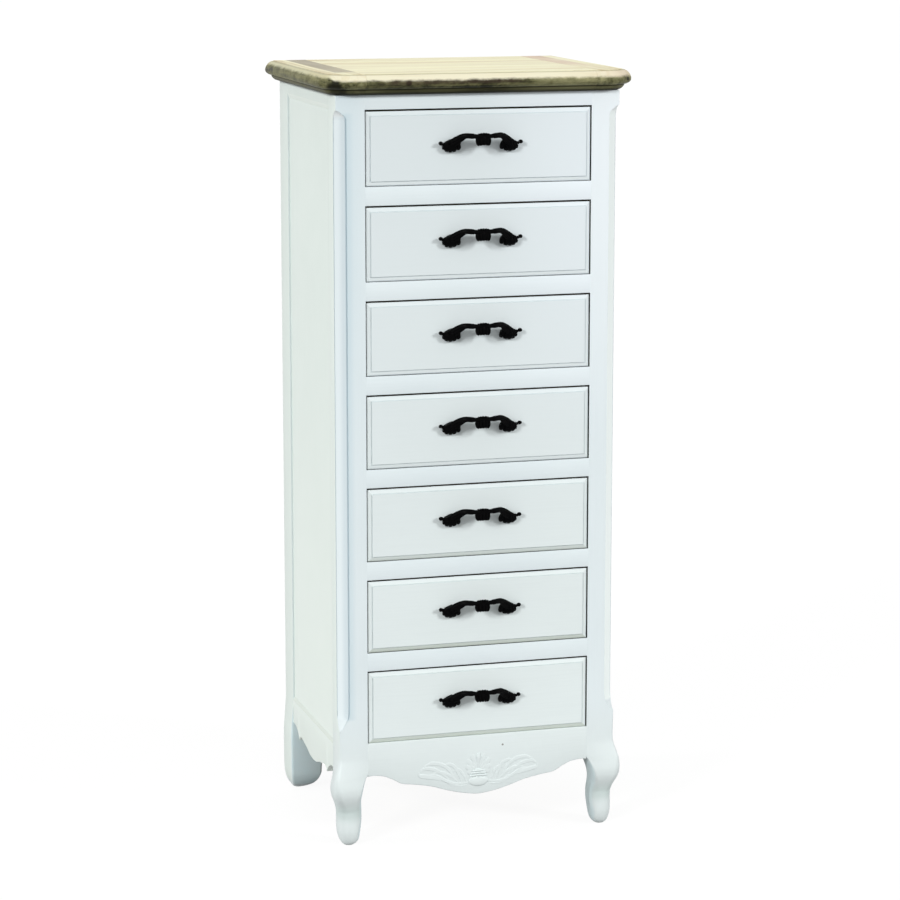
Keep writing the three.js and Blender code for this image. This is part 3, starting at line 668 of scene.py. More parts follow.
def chamfer_light_and_shade(f, tone):
    """The posts' chamfers: painted shading across the hollow, painted shade along the left one's lines,
    painted light on the right one and on the upper stops.
    """
    foot, top = CHAMFER_LEVELS[0] + CHAMFER_SHADING_START[0], CHAMFER_LEVELS[-1] - CHAMFER_SHADING_START[1]
    upright = f.between(f.axis("Z"), foot * MM, top * MM, 0.006)
    left = f.falling(f.axis("X"), -0.02, 0.02, upright)
    right = f.rising(f.axis("X"), 0.0, 0.02, upright)
    out, depth = f.outward(), f.behind_front()
    flank, edge, rear_edge = CASE_HALF * MM, (CASE_HALF - CHAMFER_FRONT) * MM, CHAMFER_SIDE * MM

    # Painted shading across the hollow: lighter towards the side, darker towards the front
    oblique = f.between(f.sideways(), 0.45, 0.86, 0.08)
    hollow = f.mix(f.rising(out, edge + 0.004, flank - 0.005), *HOLLOW_SHADES)
    tone = f.mix(f.product(oblique, upright), tone, hollow)

    # Painted shade beside the left chamfer's front edge, and on its line
    beside = f.product(f.rising(out, edge - 0.013, edge - 0.001), f.falling(f.facing("Y"), -0.98, -0.90))
    tone = f.mix(f.product(beside, left, 0.5), tone, CHAMFER_PAINTED_SHADE)
    line = f.product(
        f.between(out, edge - 0.0002, edge + 0.0020, 0.0003),
        f.between(depth, 0.0004, 0.0060, 0.0005),
    )
    tone = f.mix(f.product(line, left, 0.30), tone, CHAMFER_LINE_SHADE)
    # Painted light on the right chamfer
    painted_lit = f.product(f.between(f.facing("X"), 0.35, 0.88, 0.08), right)
    tone = f.mix(painted_lit, tone, CHAMFER_PAINTED_LIGHT)
    # Painted shade along the left chamfer's rim at the side
    rim = f.product(
        f.rising(out, flank - 0.0016, flank - 0.0010),
        f.between(depth, rear_edge - 0.0016, rear_edge - 0.0002, 0.0003),
    )
    tone = f.mix(f.product(rim, left, 0.5), tone, CHAMFER_RIM_SHADE)
    # Painted light on the downward faces high up, such as the upper stops
    upper_stop = f.product(f.falling(f.facing("Z"), -0.6, -0.2, 0.9), f.rising(f.axis("Z"), 0.6, 0.62))
    return f.mix(upper_stop, tone, STOP_PAINTED_LIGHT)


def post_wear_and_light(f, tone):
    """Warmer sides, painted light and shade over the height and on the legs and chamfers, painted shade then
    bare wood in the openings.
    """
    tone = side_faced(f, lit_right_shaded_left(f, tone, *POST_LIGHT_AND_SHADE), 1.03)
    tone = chamfer_light_and_shade(f, leg_painted_shade(f, tone))
    return gap_shade_then_bare_wood(0.0007, POST_INSIDE * MM + 0.0002)(f, tone)


def foot_painted_shade(f, tone):
    """Warmer sides, painted shade on the forward faces, and blue-grey painted shade on these under the side
    rails.
    """
    tone = side_faced(f, tone, 0.945)
    forward = f.facing("Y")
    # Painted shade on the forward faces
    tone = f.mix(f.falling(forward, -0.8, -0.4, 0.7), tone, FOOT_PAINTED_SHADE)
    under_rail = f.falling(f.axis("Z"), 0.12, 0.15)
    mottle = f.spread(f.noise((60, 60, 60), detail=3), 0.3, 0.7, 0.75, 1.0)
    # Mottled blue-grey painted shade on the forward faces under the side rails
    foot_shade_share = f.product(f.falling(forward, -0.8, -0.45), under_rail, mottle)
    return f.mix(foot_shade_share, tone, f.colours.painted_foot_shade)


# Painted light and shade over the height, then painted shade and bare wood in the openings
def rail_wear_and_light(f, tone):
    return gap_shade_then_bare_wood(0.0006)(f, lit_right_shaded_left(f, tone, *RAIL_LIGHT_AND_SHADE))


def side_tone_and_light(f, tone):
    """Lighter paint towards the foot, painted shade on the upward bevels and painted light on the downward
    ones.
    """
    tone = f.mix(f.falling(f.axis("Z"), 0.25, 0.9, 0.75), tone, SIDE_LOW)
    # Painted shade on the upward bevels, then painted light on the downward ones
    upward = f.facing("Z")
    tone = f.mix(f.rising(upward, 0.12, 0.40), tone, SIDE_BEVEL_SHADE)
    return f.mix(f.falling(upward, -0.30, -0.10), tone, SIDE_BEVEL_LIGHT)


def front_wear_and_light(f, tone):
    """Greyer towards the top drawers; painted light and shade over the height, on the bevels, in the groove
    and behind the edge.
    """
    red, green, blue = f.colours.front_paint
    greyer = (0.9 * red, 0.9 * green, 0.925 * blue)
    upward = f.facing("Z")
    tone = f.mix(f.rising(f.axis("Z"), 0.25, 1.15, 0.8), tone, greyer)
    # Painted light high up at the right and painted shade high up at the left
    tone = lit_right_shaded_left(f, tone, FRONT_PAINTED_LIGHT, greyer)
    high_up = f.rising(f.axis("Z"), 0.35, 0.7)
    # Painted shade on the downward bevels and steps, olive low down and blue-grey high up
    bevel_shade = f.mix(high_up, *BEVEL_PAINTED_SHADES)
    tone = f.mix(f.falling(upward, -0.5, -0.12, 0.55), tone, bevel_shade)
    # Painted light on the lower bevels of the upper drawers
    rubbed_and_lit = f.product(f.between(upward, -0.42, -0.12, 0.04), high_up, 0.75)
    tone = f.mix(rubbed_and_lit, tone, BEVEL_PAINTED_LIGHT)
    # Painted shade on the steep walls of the groove round the field
    steep = f.falling(f.maths("ABSOLUTE", f.facing("Y")), 0.60, 0.85, 0.42)
    groove_shade = f.product(steep, f.falling(f.behind_front(), 0.0019, 0.0024))
    tone = f.mix(groove_shade, tone, GROOVE_PAINTED_SHADE)
    # Painted shade, then bare wood, behind the front's edge
    return gap_shade_then_bare_wood(0.0027)(f, tone)


def frame_paint(name, brushed, wear_and_light):
    colours = bpy.context.scene.chest_colours
    return painted(name, colours.paint, colours.paint_shade, brushed, wear_and_light)


def paint_post(name):
    return frame_paint(name, BRUSHED_UPRIGHT, post_wear_and_light)


def paint_foot(name):
    return frame_paint(name, BRUSHED_UPRIGHT, foot_painted_shade)


def paint_rail(name):
    return frame_paint(name, BRUSHED_LENGTHWISE, rail_wear_and_light)


def paint_apron(name):
    light = tinted(bpy.context.scene.chest_colours.front_paint, 0.955)
    return painted(name, light, tinted(light, 0.96), BRUSHED_LENGTHWISE)


def paint_front(name):
    light = bpy.context.scene.chest_colours.front_paint
    return painted(name, light, tinted(light, 0.95), BRUSHED_LENGTHWISE, front_wear_and_light)


def paint_side(name):
    light = bpy.context.scene.chest_colours.side_paint
    return painted(name, light, tinted(light, 0.96), BRUSHED_UPRIGHT, side_tone_and_light)


# Finishes: wood

GRAIN_ACROSS = (46, 2.6, 46)
GRAIN_ALONG = (2.6, 46, 46)
STRAW_LIGHT = (0.86, 0.84, 0.645)
OLD_PLANK = (0.60, 0.50, 0.34)
QUIRK_BROWN = (0.22, 0.19, 0.10)
REAR_BROWN = (0.30, 0.24, 0.17)
HOLLOW_BROWN = (0.066, 0.045, 0.030)
CREAM_AT_ENDS = (0.60, 0.58, 0.37)
CREAM_AT_RIGHT = (0.66, 0.52, 0.40)
SMUDGES = (
    (-0.231, FRONT - 0.006, SLAB_UNDER * MM + 0.003), (-0.222, FRONT - 0.011, SLAB_UNDER * MM + 0.001),
    (-0.234, FRONT - 0.009, SLAB_UNDER * MM + 0.011), (-0.228, FRONT - 0.015, SLAB_UNDER * MM + 0.012),
)
KNOTS = (
    (-0.117, FRONT - 0.022, SLAB_UNDER * MM + 0.019), (0.236, FRONT - 0.006, SLAB_UNDER * MM + 0.018),
)
# How light the moulded edge is from the left end to the right end, as shares of the width and of the range
EDGE_LIGHT = (
    (0.0, 0.56), (0.018, 0.56), (0.035, 0.30), (0.065, 0.30), (0.09, 0.50), (0.15, 0.54),
    (0.20, 0.40), (0.29, 0.34), (0.39, 0.32), (0.47, 0.17), (0.53, 0.22), (0.59, 0.40),
    (0.67, 0.66), (0.78, 0.80), (0.88, 0.68), (0.94, 0.58), (0.975, 0.70), (1.0, 0.74),
)
# The darker strip on an end board: how far it reaches past the planks' ends and in front of them
STRIP_WIDTH = 33
STRIP_FRONT = 2


def straw_grain(f, along):
    """Colour of pale open-grained wood; along gives the grain's cells per metre on each axis."""
    broad = f.noise(along, detail=4, roughness=0.6, warp=0.4)
    pores = f.noise(finer(along, 6), detail=3, roughness=0.65)
    stops = [(0.34, f.colours.straw_streak), (0.5, f.colours.straw), (0.8, STRAW_LIGHT)]
    in_pores = f.rising(pores, 0.52, 0.72, 0.26)
    return f.mix(in_pores, f.ramp(broad, stops), tinted(f.colours.straw_streak, 0.72)), broad, pores


def planked(name):
    """The planks inside the top's border: straw wood with the grain along the chest's width."""
    f = Finish(name, specular=0.3)
    tone, broad, pores = straw_grain(f, (2.2, 46, 46))
    stride = (PANEL_HIGH.y - PANEL_LOW.y) * MM / bpy.context.scene.chest_sizes.planks
    board = f.maths("FLOOR", f.maths("DIVIDE", f.behind_front(PANEL_LOW.y * MM), stride))
    chance = f.add("ShaderNodeTexWhiteNoise", {"noise_dimensions": "1D"}, W=board).outputs["Value"]
    tone = f.mix(f.rising(chance, 0.0, 1.0, 0.16), tone, OLD_PLANK)
    return f.finished(tone, f.spread(broad, 0.3, 0.7, 0.40, 0.56), pores, 0.3, 0.0004)


def weathered(name, along, flat=None):
    """A border board: its flat on top as given, pale on the upper round, dark and olive below it."""
    f = Finish(name)
    on_top, _, pores = straw_grain(f, along)
    if flat:
        on_top = flat(f, on_top, pores)
    height = f.maths("SUBTRACT", f.axis("Z"), SLAB_UNDER * MM)
    streaks = f.noise(tuple(a * 2.4 for a in along), detail=5, roughness=0.62, shift=(7.0, 2.0, 5.0))
    patches = f.noise((52, 52, 75), detail=4, roughness=0.6, shift=(1.3, 4.1, 2.2), warp=0.5)
    fine = f.noise((110, 110, 240), detail=3, roughness=0.6)
    way = f.maths("MULTIPLY_ADD", f.axis("X"), 1 / (2 * SLAB_HALF * MM), 0.5)
    light = f.ramp(way, [(place, (value,) * 3) for place, value in EDGE_LIGHT])
    at_end = f.rising(f.outward(), 0.228, 0.238)

    worn = f.swung(light, (patches, 1.0), (streaks, 1.7), (fine, 0.5))
    worn = f.maths("SUBTRACT", worn, f.product(f.near(KNOTS, 0.0015, 0.0045), 0.5))
    rubbed_and_lit = rubbed_share(f, height, patches, fine)
    body = f.mix(rubbed_and_lit, dark_hollow(f, height, worn), cream_round(f, at_end, streaks))
    body = f.mix(f.rising(height, 0.0088, 0.0096), lip_tone(f, height, light, streaks, at_end), body)
    # Painted shadow line in the groove under the nose
    groove_shade = f.product(f.rising(height, 0.0076, 0.0086), f.falling(height, 0.0094, 0.0106))
    body = f.mix(f.product(groove_shade, 0.7), body, f.colours.soot)
    body = f.mix(f.product(f.near(SMUDGES, 0.0045, 0.0105), 0.96), body, f.colours.soot)

    whole = f.mix(f.rising(height, 0.0305, 0.0312), body, on_top)
    quirk = f.product(f.rising(height, 0.0302, 0.0308), f.falling(height, 0.0314, 0.0319))
    whole = f.mix(f.product(quirk, 0.5), whole, QUIRK_BROWN)
    rear = f.behind_front(SLAB_HIGH.y * MM)
    whole = f.mix(f.rising(rear, -0.006, -0.001, 0.6), whole, REAR_BROWN)
    roughness = f.spread(streaks, 0.3, 0.7, 0.44, 0.60)
    return f.finished(whole, roughness, f.maths("ADD", pores, streaks), 0.3, 0.0004)


def rubbed_share(f, height, patches, fine):
    """One on the rubbed upper round of the moulded edge, which is also the glossier part of it."""
    level = f.swung(height, (patches, 0.004), (fine, 0.0035))
    lower_at_left = f.falling(f.axis("X"), -0.236, -0.228, 0.0042)
    share = f.rising(f.maths("SUBTRACT", level, lower_at_left), 0.0198, 0.0250)
    f.feed(f.shader.inputs["Specular IOR Level"], f.spread(share, 0.0, 1.0, 0.10, 0.3))
    return share


def dark_hollow(f, height, worn):
    """The weathered middle of the moulded edge, from soot to tan, with a warm brown stretch at the left."""
    olive, tan = f.colours.olive, f.colours.tan
    stops = [(0.0, f.colours.soot), (0.24, tinted(olive, 0.34)), (0.46, olive)]
    stops += [(0.70, tinted(tan, 0.62)), (1.0, tan)]
    dark = f.ramp(f.maths("ADD", worn, f.falling(height, 0.010, 0.0175, 0.14)), stops)
    warm = f.product(f.between(f.axis("X"), -0.14, 0.045, 0.03), f.rising(height, 0.0135, 0.019, 0.5))
    return f.mix(warm, dark, HOLLOW_BROWN)


def cream_round(f, at_end, streaks):
    """The pale upper round of the moulded edge, duller at both ends and pinker towards the right."""
    cream = f.mix(at_end, f.colours.cream, CREAM_AT_ENDS)
    cream = f.mix(f.rising(f.axis("X"), 0.16, 0.235, 0.55), cream, CREAM_AT_RIGHT)
    return f.mix(f.rising(streaks, 0.42, 0.72, 0.40), cream, f.colours.straw_streak)


def lip_tone(f, height, light, streaks, at_end):
    """The lip under the moulded edge, with soot on its lowest part, less of it at the ends."""
    stops = [(0.0, f.colours.soot), (0.35, tinted(f.colours.olive, 0.6)), (0.9, tinted(f.colours.tan, 0.55))]
    lip = f.ramp(f.maths("ADD", light, f.maths("SUBTRACT", streaks, 0.5)), stops)
    sooty = f.product(f.falling(height, 0.0020, 0.0055, 0.85), f.spread(at_end, 0, 1, 1.0, 0.35))
    return f.mix(sooty, lip, f.colours.soot)


def inner_strip(colour_name, faded):
    """A darker strip beside the planks on an end board, behind the front board's line."""

    def flat(f, tone, pores):
        colour = getattr(f.colours, colour_name)
        wood = f.mix(f.rising(pores, 0.4, 0.7, 0.5), colour, tinted(colour, 1.3))
        edge = (PANEL_HIGH.x + STRIP_WIDTH) * MM
        inner = f.falling(f.outward(), edge, edge + 0.0015)
        depth = f.behind_front((PANEL_LOW.y - STRIP_FRONT) * MM)
        smoke = f.spread(f.noise((9, 5, 9), detail=3, shift=(3.1, 1.7, 0.4)), 0.35, 0.65, faded, 1.0)
        older = f.spread(depth, 0.0, 0.16, faded, 1.0)
        return f.mix(f.product(inner, f.rising(depth, 0.0, 0.0015), smoke, older), tone, wood)

    return flat


def edge_lengthwise(name):
    return weathered(name, GRAIN_ALONG)


def edge_left(name):
    return weathered(name, GRAIN_ACROSS, inner_strip("ash", 0.85))


def edge_right(name):
    return weathered(name, GRAIN_ACROSS, inner_strip("rose", 0.35))


def bare_wood(name, along, tint=1.0):
    """Plain inside wood, with so many grain cells per metre along each axis."""
    f = Finish(name)
    broad = f.noise(along, detail=4, roughness=0.6, warp=0.6)
    pores = f.noise(finer(along, 7), detail=3, roughness=0.6)
    light = tinted(f.colours.bare, tint)
    tone = f.ramp(broad, [(0.32, tinted(light, 0.72)), (0.55, light), (0.8, tinted(light, 1.12))])
    tone = f.mix(f.rising(pores, 0.5, 0.7, 0.3), tone, tinted(light, 0.55))
    return f.finished(tone, f.spread(broad, 0.3, 0.7, 0.52, 0.7), pores, 0.3, 0.0004)


def box_wood(name):
    return bare_wood(name, (40, 3, 40))


def bottom_wood(name):
    return bare_wood(name, (3, 40, 40), 1.12)


def back_wood(name):
    return bare_wood(name, (34, 34, 3), 0.9)


# Finishes: metal

RUBBED_IRON = (0.0036, 0.0028, 0.0021)


def cast_iron(name):
    """Near-black antique casting: fine sand-cast skin, a little brown on the rubbed places."""
    f = Finish(name, specular=0.03)
    skin = f.noise((1500, 1500, 1500), detail=3, roughness=0.6)
    rub = f.noise((160, 160, 160), detail=3, roughness=0.6)
    tone = f.mix(f.rising(rub, 0.58, 0.76), f.colours.iron, RUBBED_IRON)
    return f.finished(tone, f.spread(rub, 0.3, 0.7, 0.38, 0.56), f.maths("ADD", skin, rub), 0.35, 0.00018)


# Case


def leg_ring(level, reach, flank, inner, rounding, cut, arris):
    """Outline of the left front leg at one level, with the knee at the outer corner."""
    left, right = -CASE_HALF, -CASE_HALF + inner
    corners = [(left - reach, -reach), (right, -flank), (right, inner), (left - flank, inner)]
    knee = (rounding, rounding, SOFT, 12)
    inside = (cut, min(cut, LEG_CUT_SIDE), LEG_CUT_BULGE, 4)
    eased = (arris, arris, SOFT, 4)
    return [(x, y, level) for x, y in outline(corners, [knee, inside, eased, eased])]


def front_post():
    """The left front post and its cabriole leg as one shape."""
    levels = np.concatenate([np.linspace(0, LEG_TOE, 7)[:-1], np.linspace(LEG_TOE, LEG_HEIGHT, 60)])
    tables = (LEG_REACH, LEG_FLANK, LEG_INNER, LEG_ROUND, LEG_CUT, LEG_ARRIS)
    rings = [leg_ring(*row) for row in zip(levels, *(smooth_through(LEG_LEVELS, t, levels) for t in tables))]
    runs = np.linspace(0, 1, 17) ** 1.5
    side, front = (smooth_through(STOP_RUNS, t, runs) for t in (STOP_CUTS, STOP_FRONT_CUTS))
    foot, foot_full, top_full, top = CHAMFER_LEVELS
    stops = list(zip(runs, side, front))
    rings += [chamfered_ring(foot + r * (foot_full - foot), s, f) for r, s, f in stops]
    rings += [chamfered_ring(top - r * (top - top_full), s, f) for r, s, f in reversed(stops)]
    rings.append(chamfered_ring(SLAB_UNDER, side[0], front[0]))
    return lofted(rings)


def chamfered_ring(level, side_share, front_share):
    """Outline of the post with its outer corner cut back to a hollowed chamfer."""
    start = np.array((-CASE_HALF, CHAMFER_SIDE * side_share))
    end = np.array((-CASE_HALF + CHAMFER_FRONT * front_share, 0))
    chord = end - start
    out = np.array((chord[1], -chord[0])) / np.linalg.norm(chord) * min(side_share, front_share)
    points = [start + chord * run + out * rise for run, rise in zip(HOLLOW_RUNS, HOLLOW_RISES)]
    front_inside, back_inside = (-POST_INSIDE, 0), (-POST_INSIDE, POST_WIDTH)
    back_outside = (-CASE_HALF, POST_WIDTH)
    for at, before, after in (
        (front_inside, end, back_inside),
        (back_inside, front_inside, back_outside),
        (back_outside, back_inside, start),
    ):
        points.extend(corner(at, before, after, HARD, HARD, SOFT, 4))
    return [(x, y, level) for x, y in points]


def rear_post():
    """The left rear post with its softly rounded foot."""
    toe = np.linspace(0, FOOT_TOE, 10)[:-1]
    levels = np.concatenate([toe, np.linspace(FOOT_TOE, FOOT_LEVELS[-1], 36), [SLAB_UNDER]])
    held = np.minimum(levels, FOOT_LEVELS[-1])
    tables = (FOOT_SWELL, FOOT_INNER, FOOT_FRONT, FOOT_BACK)
    rings = []
    for z, swell, inner, front, back in zip(levels, *(smooth_through(FOOT_LEVELS, t, held) for t in tables)):
        arris = np.interp(z, FOOT_ARRIS_LEVELS, FOOT_ARRISES)
        x0, x1, y0, y1 = -CASE_HALF - swell, -CASE_HALF + inner, CASE_DEPTH - front, CASE_DEPTH - back
        flat = outline([(x0, y0), (x1, y0), (x1, y1), (x0, y1)], [(arris, arris, SOFT, 4)] * 4)
        rings.append([(x, y, z) for x, y in flat])
    return lofted(rings)


def rail_ring(along, low, high, back, arris, round_high=True):
    """Cross-section in Y and Z of a rail whose face is flush with the case's front, at one place along X."""
    turns = np.linspace(0, math.pi / 2, 4)
    points = [(back, low), (back, high)]
    if round_high:
        points += [(arris * (1 - math.sin(a)), high - arris * (1 - math.cos(a))) for a in turns]
    else:
        points.append((0, high))
    points += [(arris * (1 - math.cos(a)), low + arris * (1 - math.sin(a))) for a in turns]
    return [(along, y, z) for y, z in points]


def front_rail(low, high, depth, arris, round_high=True):
    return lofted([rail_ring(x, low, high, depth, arris, round_high) for x in (-POST_INSIDE, POST_INSIDE)])


def apron_edge(x):
    runs = np.concatenate([-np.array(APRON_RUNS[:0:-1]), APRON_RUNS])
    rises = np.concatenate([APRON_RISES[:0:-1], APRON_RISES])
    return APRON_LOW.z + (APRON_ARCH - APRON_LOW.z) * smooth_through(runs, rises, x / POST_INSIDE)


def front_apron(arris):
    stations = np.linspace(-POST_INSIDE, POST_INSIDE, 181)
    soft, back, high = arris * APRON_SOFTER, APRON_HIGH.y, APRON_HIGH.z
    return lofted([rail_ring(x, z, high, back, soft) for x, z in zip(stations, apron_edge(stations))])


def side_apron(arris):
    """The left side's lower rail with its cusped edge, bevelled up to the panel."""
    half, middle = (SIDE_BACK - POST_WIDTH) / 2, (SIDE_BACK + POST_WIDTH) / 2
    cusp = SIDE_WAVE_RUNS[-1]
    runs = np.concatenate([np.linspace(0, cusp, 44)[:-1], np.linspace(cusp, 1, 26)])
    wave = smooth_through(SIDE_WAVE_RUNS, SIDE_WAVE_RISES, runs)
    arch = smooth_through(SIDE_ARCH_RUNS, SIDE_ARCH_RISES, runs)
    rises = np.where(runs < cusp, wave, arch)
    rises[:2] = rises[0]
    levels = SIDE_APRON_LOW.z + (SIDE_ARCH - SIDE_APRON_LOW.z) * rises
    stations = np.concatenate([middle - half * runs[:0:-1], middle + half * runs])
    edge = np.concatenate([levels[:0:-1], levels])
    outside, inside, high = -CASE_HALF, SIDE_RAIL_HIGH.x, SIDE_APRON_HIGH.z
    bevel_depth, bevel_height = APRON_BEVEL
    soft = arris * SIDE_SOFTER
    rings = []
    for y, z in zip(stations, edge):
        flat = [(inside, z), (outside + soft, z), (outside + soft * 0.3, z + soft * 0.3), (outside, z + soft)]
        flat += [(outside, high - bevel_height), (outside + bevel_depth, high), (inside, high)]
        rings.append([(x, y, level) for x, level in flat])
    return lofted(rings)


def side_top_rail(arris):
    """The left side's upper rail, bevelled down to the panel."""
    outside, inside, low = -CASE_HALF, SIDE_RAIL_HIGH.x, SIDE_RAIL_LOW.z
    bevel_depth, bevel_height = RAIL_BEVEL
    flat = [(inside, low), (outside + bevel_depth, low), (outside + arris * 0.3, low + bevel_height - arris)]
    flat += [(outside, low + bevel_height), (outside, SLAB_UNDER), (inside, SLAB_UNDER)]
    return lofted([[(x, y, level) for x, level in flat] for y in (POST_WIDTH, SIDE_BACK)])


def leaf(spine, widths, heights, vein, sink=0.5, steps=16, around=12, follow=None):
    """A domed, tapering body along its spine with a vein down the middle.

    Its back closes on the plane y = sink, or keeps that far behind the spine as follow says.
    """
    line = curve_through(spine, steps)
    at = np.linspace(0, 1, steps)
    width, height = (smooth_through(np.linspace(0, 1, len(t)), t, at) for t in (widths, heights))
    run = np.gradient(line, axis=0)
    across = np.stack([-run[:, 2], run[:, 0]], 1)
    across /= np.linalg.norm(across, axis=1, keepdims=True)
    turns = np.linspace(0, math.pi, around)
    dome = np.sin(turns) ** 0.8 * (1 - vein * np.exp(-((np.cos(turns) / 0.28) ** 2)))
    rings = []
    for (x, y, z), side, wide, tall in zip(line, across, width, height):
        back = sink if follow is None else y + follow
        flat = [(c * wide, y - tall * d) for c, d in zip(np.cos(turns), dome)]
        flat += [(-wide, back), (wide, back)]
        rings.append([(x + side[0] * out, depth, z + side[1] * out) for out, depth in flat])
    return lofted(rings)


# The carving's right half, in millimetres from its middle and its lower edge: spine, widths, heights, vein.
# The heights are written for a relief of CARVED millimetres. The halves are lifted first, and then the whole
# is stretched upwards and lowered.
CARVED = 2.8
HALF_LIFT = 1
CARVING_STRETCH = 1.07
CARVING_DROP = 1.5
SPRAY = (
    (
        ((16, 7), (36, 6), (53, 12), (68, 20), (82, 23.5)),
        (1.2, 2.2, 2.6, 2.4, 1.0), (1.4, 2.4, 2.6, 2.0, 0.9), 0.35,
    ),
    (
        ((58, 13), (72, 18), (88, 21), (96, 23), (97.5, 27.5)),
        (0.8, 3.2, 3.6, 2.6, 1.2), (1.0, 2.3, 2.5, 2.3, 1.4), 0.2,
    ),
    (
        ((40, 12), (47, 27), (60, 37), (76, 40), (89, 36)),
        (0.8, 2.4, 3.2, 3.0, 1.3), (0.8, 2.0, 2.5, 2.3, 1.0), 0.25,
    ),
    (
        ((48, 13), (60, 24), (74, 31), (88, 33), (95, 29)),
        (0.8, 2.2, 3.0, 2.8, 1.2), (0.8, 1.9, 2.3, 2.2, 1.2), 0.25,
    ),
    (
        ((28, 9), (33, 22), (40, 33), (50, 37), (57, 33)),
        (0.8, 2.2, 2.9, 2.6, 1.1), (0.8, 1.9, 2.3, 2.1, 1.0), 0.25,
    ),
    (
        ((34, 9), (44, 18), (56, 24), (66, 26), (74, 24)),
        (0.8, 2.0, 2.5, 2.2, 0.9), (0.8, 1.7, 2.1, 1.8, 0.8), 0.25,
    ),
    (
        ((20, 9), (24, 18), (30, 26), (36, 28), (41, 25)),
        (0.8, 1.9, 2.4, 2.1, 0.9), (0.8, 1.8, 2.2, 2.0, 0.9), 0.25,
    ),
    (((18, 4), (30, 2.5), (42, 5), (52, 8.5)), (0.7, 1.5, 1.5, 0.6), (0.8, 1.5, 1.5, 0.7), 0.0),
)
# The fan's blades and the ribs between them: angle from upright and length
FAN_BLADES = ((22, 29), (44, 26.5), (66, 22.5), (88, 18))
FAN_RIBS = ((11, 20), (33, 18), (55, 16))
# Where their spines start, the points on these as shares of the length, and then the rest as for the spray
BLADE_FOOT, BLADE_RUNS = 22, (0.22, 0.5, 0.8, 1)
BLADE = ((1.0, 2.6, 4.0, 2.6), (0.8, 1.5, 2.3, 1.2), 0.12)
RIB_FOOT, RIB_RUNS = 23, (0.3, 0.6, 1)
RIB = ((0.8, 2.4, 1.7), (1.4, 2.6, 1.6), 0.0)
MIDDLE_BLADE = ((0, 30), (0, 38), (0, 45), (0, 51.5))
# The bars under the fan: level and half length, then the rest as for the spray, and how much they sag
FAN_BARS = ((25.5, 11), (22, 12.5), (18.4, 13.5))
BAR = ((1.0, 1.6, 1.6, 1.6, 1.0), (1.2, 2.2, 2.5, 2.2, 1.2), 0.0)
FAN_BAR_SAG = 0.06
# The bud in the middle and the cup round it, as for the spray
CUP = (
    ((-15.5, 9), (-9, 9), (0, 9), (9, 9), (15.5, 9)),
    (2.2, 6.2, 7.6, 6.2, 2.2), (0.8, 2.0, 2.8, 2.0, 0.8), 0.0,
)
BUD = (((0, 17), (0, 11), (0, 5), (0, 1.5)), (1.2, 3.2, 2.6, 0.9), (2.4, 2.95, 2.9, 1.2), 0.35)


def fan_spine(angle, length, level, shares):
    """Points out along a blade or rib that starts at the fan's foot."""
    turn = math.radians(angle)
    return [(r * length * math.sin(turn), level + r * length * math.cos(turn)) for r in shares]


def carving(relief):
    """Low relief of a fan over a bud, with curling leaves to each side."""
    low = reach_of("apron_carving")[0].z

    def carved(spine, widths, heights, vein):
        return leaf([(x, 0, low + z) for x, z in spine], widths, heights, vein=vein)

    halves = list(SPRAY)
    halves += [(fan_spine(*place, BLADE_FOOT, BLADE_RUNS), *BLADE) for place in FAN_BLADES]
    halves += [(fan_spine(*place, RIB_FOOT, RIB_RUNS), *RIB) for place in FAN_RIBS]
    parts = []
    for spine, widths, heights, vein in halves:
        raised = tuple(h * relief / CARVED for h in heights)
        half = carved([(x, z + HALF_LIFT) for x, z in spine], widths, raised, vein)
        parts += [half, mirrored(half)]
    parts.append(carved(MIDDLE_BLADE, *BLADE))
    for level, half in FAN_BARS:
        bar = [(share * half, level - abs(share) * half * FAN_BAR_SAG) for share in (-1, -0.5, 0, 0.5, 1)]
        parts.append(carved(bar, *BAR))
    parts += [carved(*CUP), carved(*BUD)]
    points, faces = gathered(*parts)
    points[:, 2] = low - CARVING_DROP + (points[:, 2] - low) * CARVING_STRETCH
    return points, faces


# Top


def edge_profile():
    """Inset and height of the slab's edge from the underside up to the flat."""
    return np.vstack([curve_through(LIP_EDGE, 17), curve_through(NOSE_EDGE, 33), QUIRK_EDGE])


def end_board(arris):
    """The left end board, moulded round its outside and cut straight along the planks."""
    seam = PANEL_LOW.x - SEAM_GAP
    profile = [(inset, height, seam) for inset, height in edge_profile()]
    inset, height, _ = profile[-1]
    profile[-1] = (inset, height - arris, seam)
    profile.append((inset, height, seam - arris))
    hard, soft = (0.01, 0.01, 0, 1), (CLIP_ROUND, CLIP_ROUND, SOFT, 10)
    eased = (BACK_ROUND, BACK_ROUND, SOFT, 3)
    rings = []
    for inset, height, cut in profile:
        side, front, back = -SLAB_HALF + inset, SLAB_LOW.y + inset, SLAB_HIGH.y - min(inset, BACK_INSET)
        clip = SLAB_CLIP - inset * (2 - math.sqrt(2))
        corners = [(cut, front), (side + clip, front), (side, front + clip), (side, back), (cut, back)]
        flat = outline(corners, [hard, soft, soft, eased, hard])
        rings.append([(x, y, SLAB_UNDER + height) for x, y in flat])
    return lofted(rings)


def middle_board(front, arris):
    """The front or back border board between the end boards."""
    half = PANEL_HIGH.x - END_GAP
    if front:
        flat = [(SLAB_LOW.y + inset, SLAB_UNDER + height) for inset, height in edge_profile()]
        seam, turn = PANEL_LOW.y - SEAM_GAP, 1
    else:
        flat = [(SLAB_HIGH.y - inset, SLAB_UNDER + height) for inset, height in BACK_EDGE]
        seam, turn = PANEL_HIGH.y + SEAM_GAP, -1
    flat += [(seam - turn * arris, SLAB_TOP), (seam, SLAB_TOP - arris), (seam, SLAB_UNDER)]
    return lofted([[(x, y, z) for y, z in flat] for x in (-half, half)])


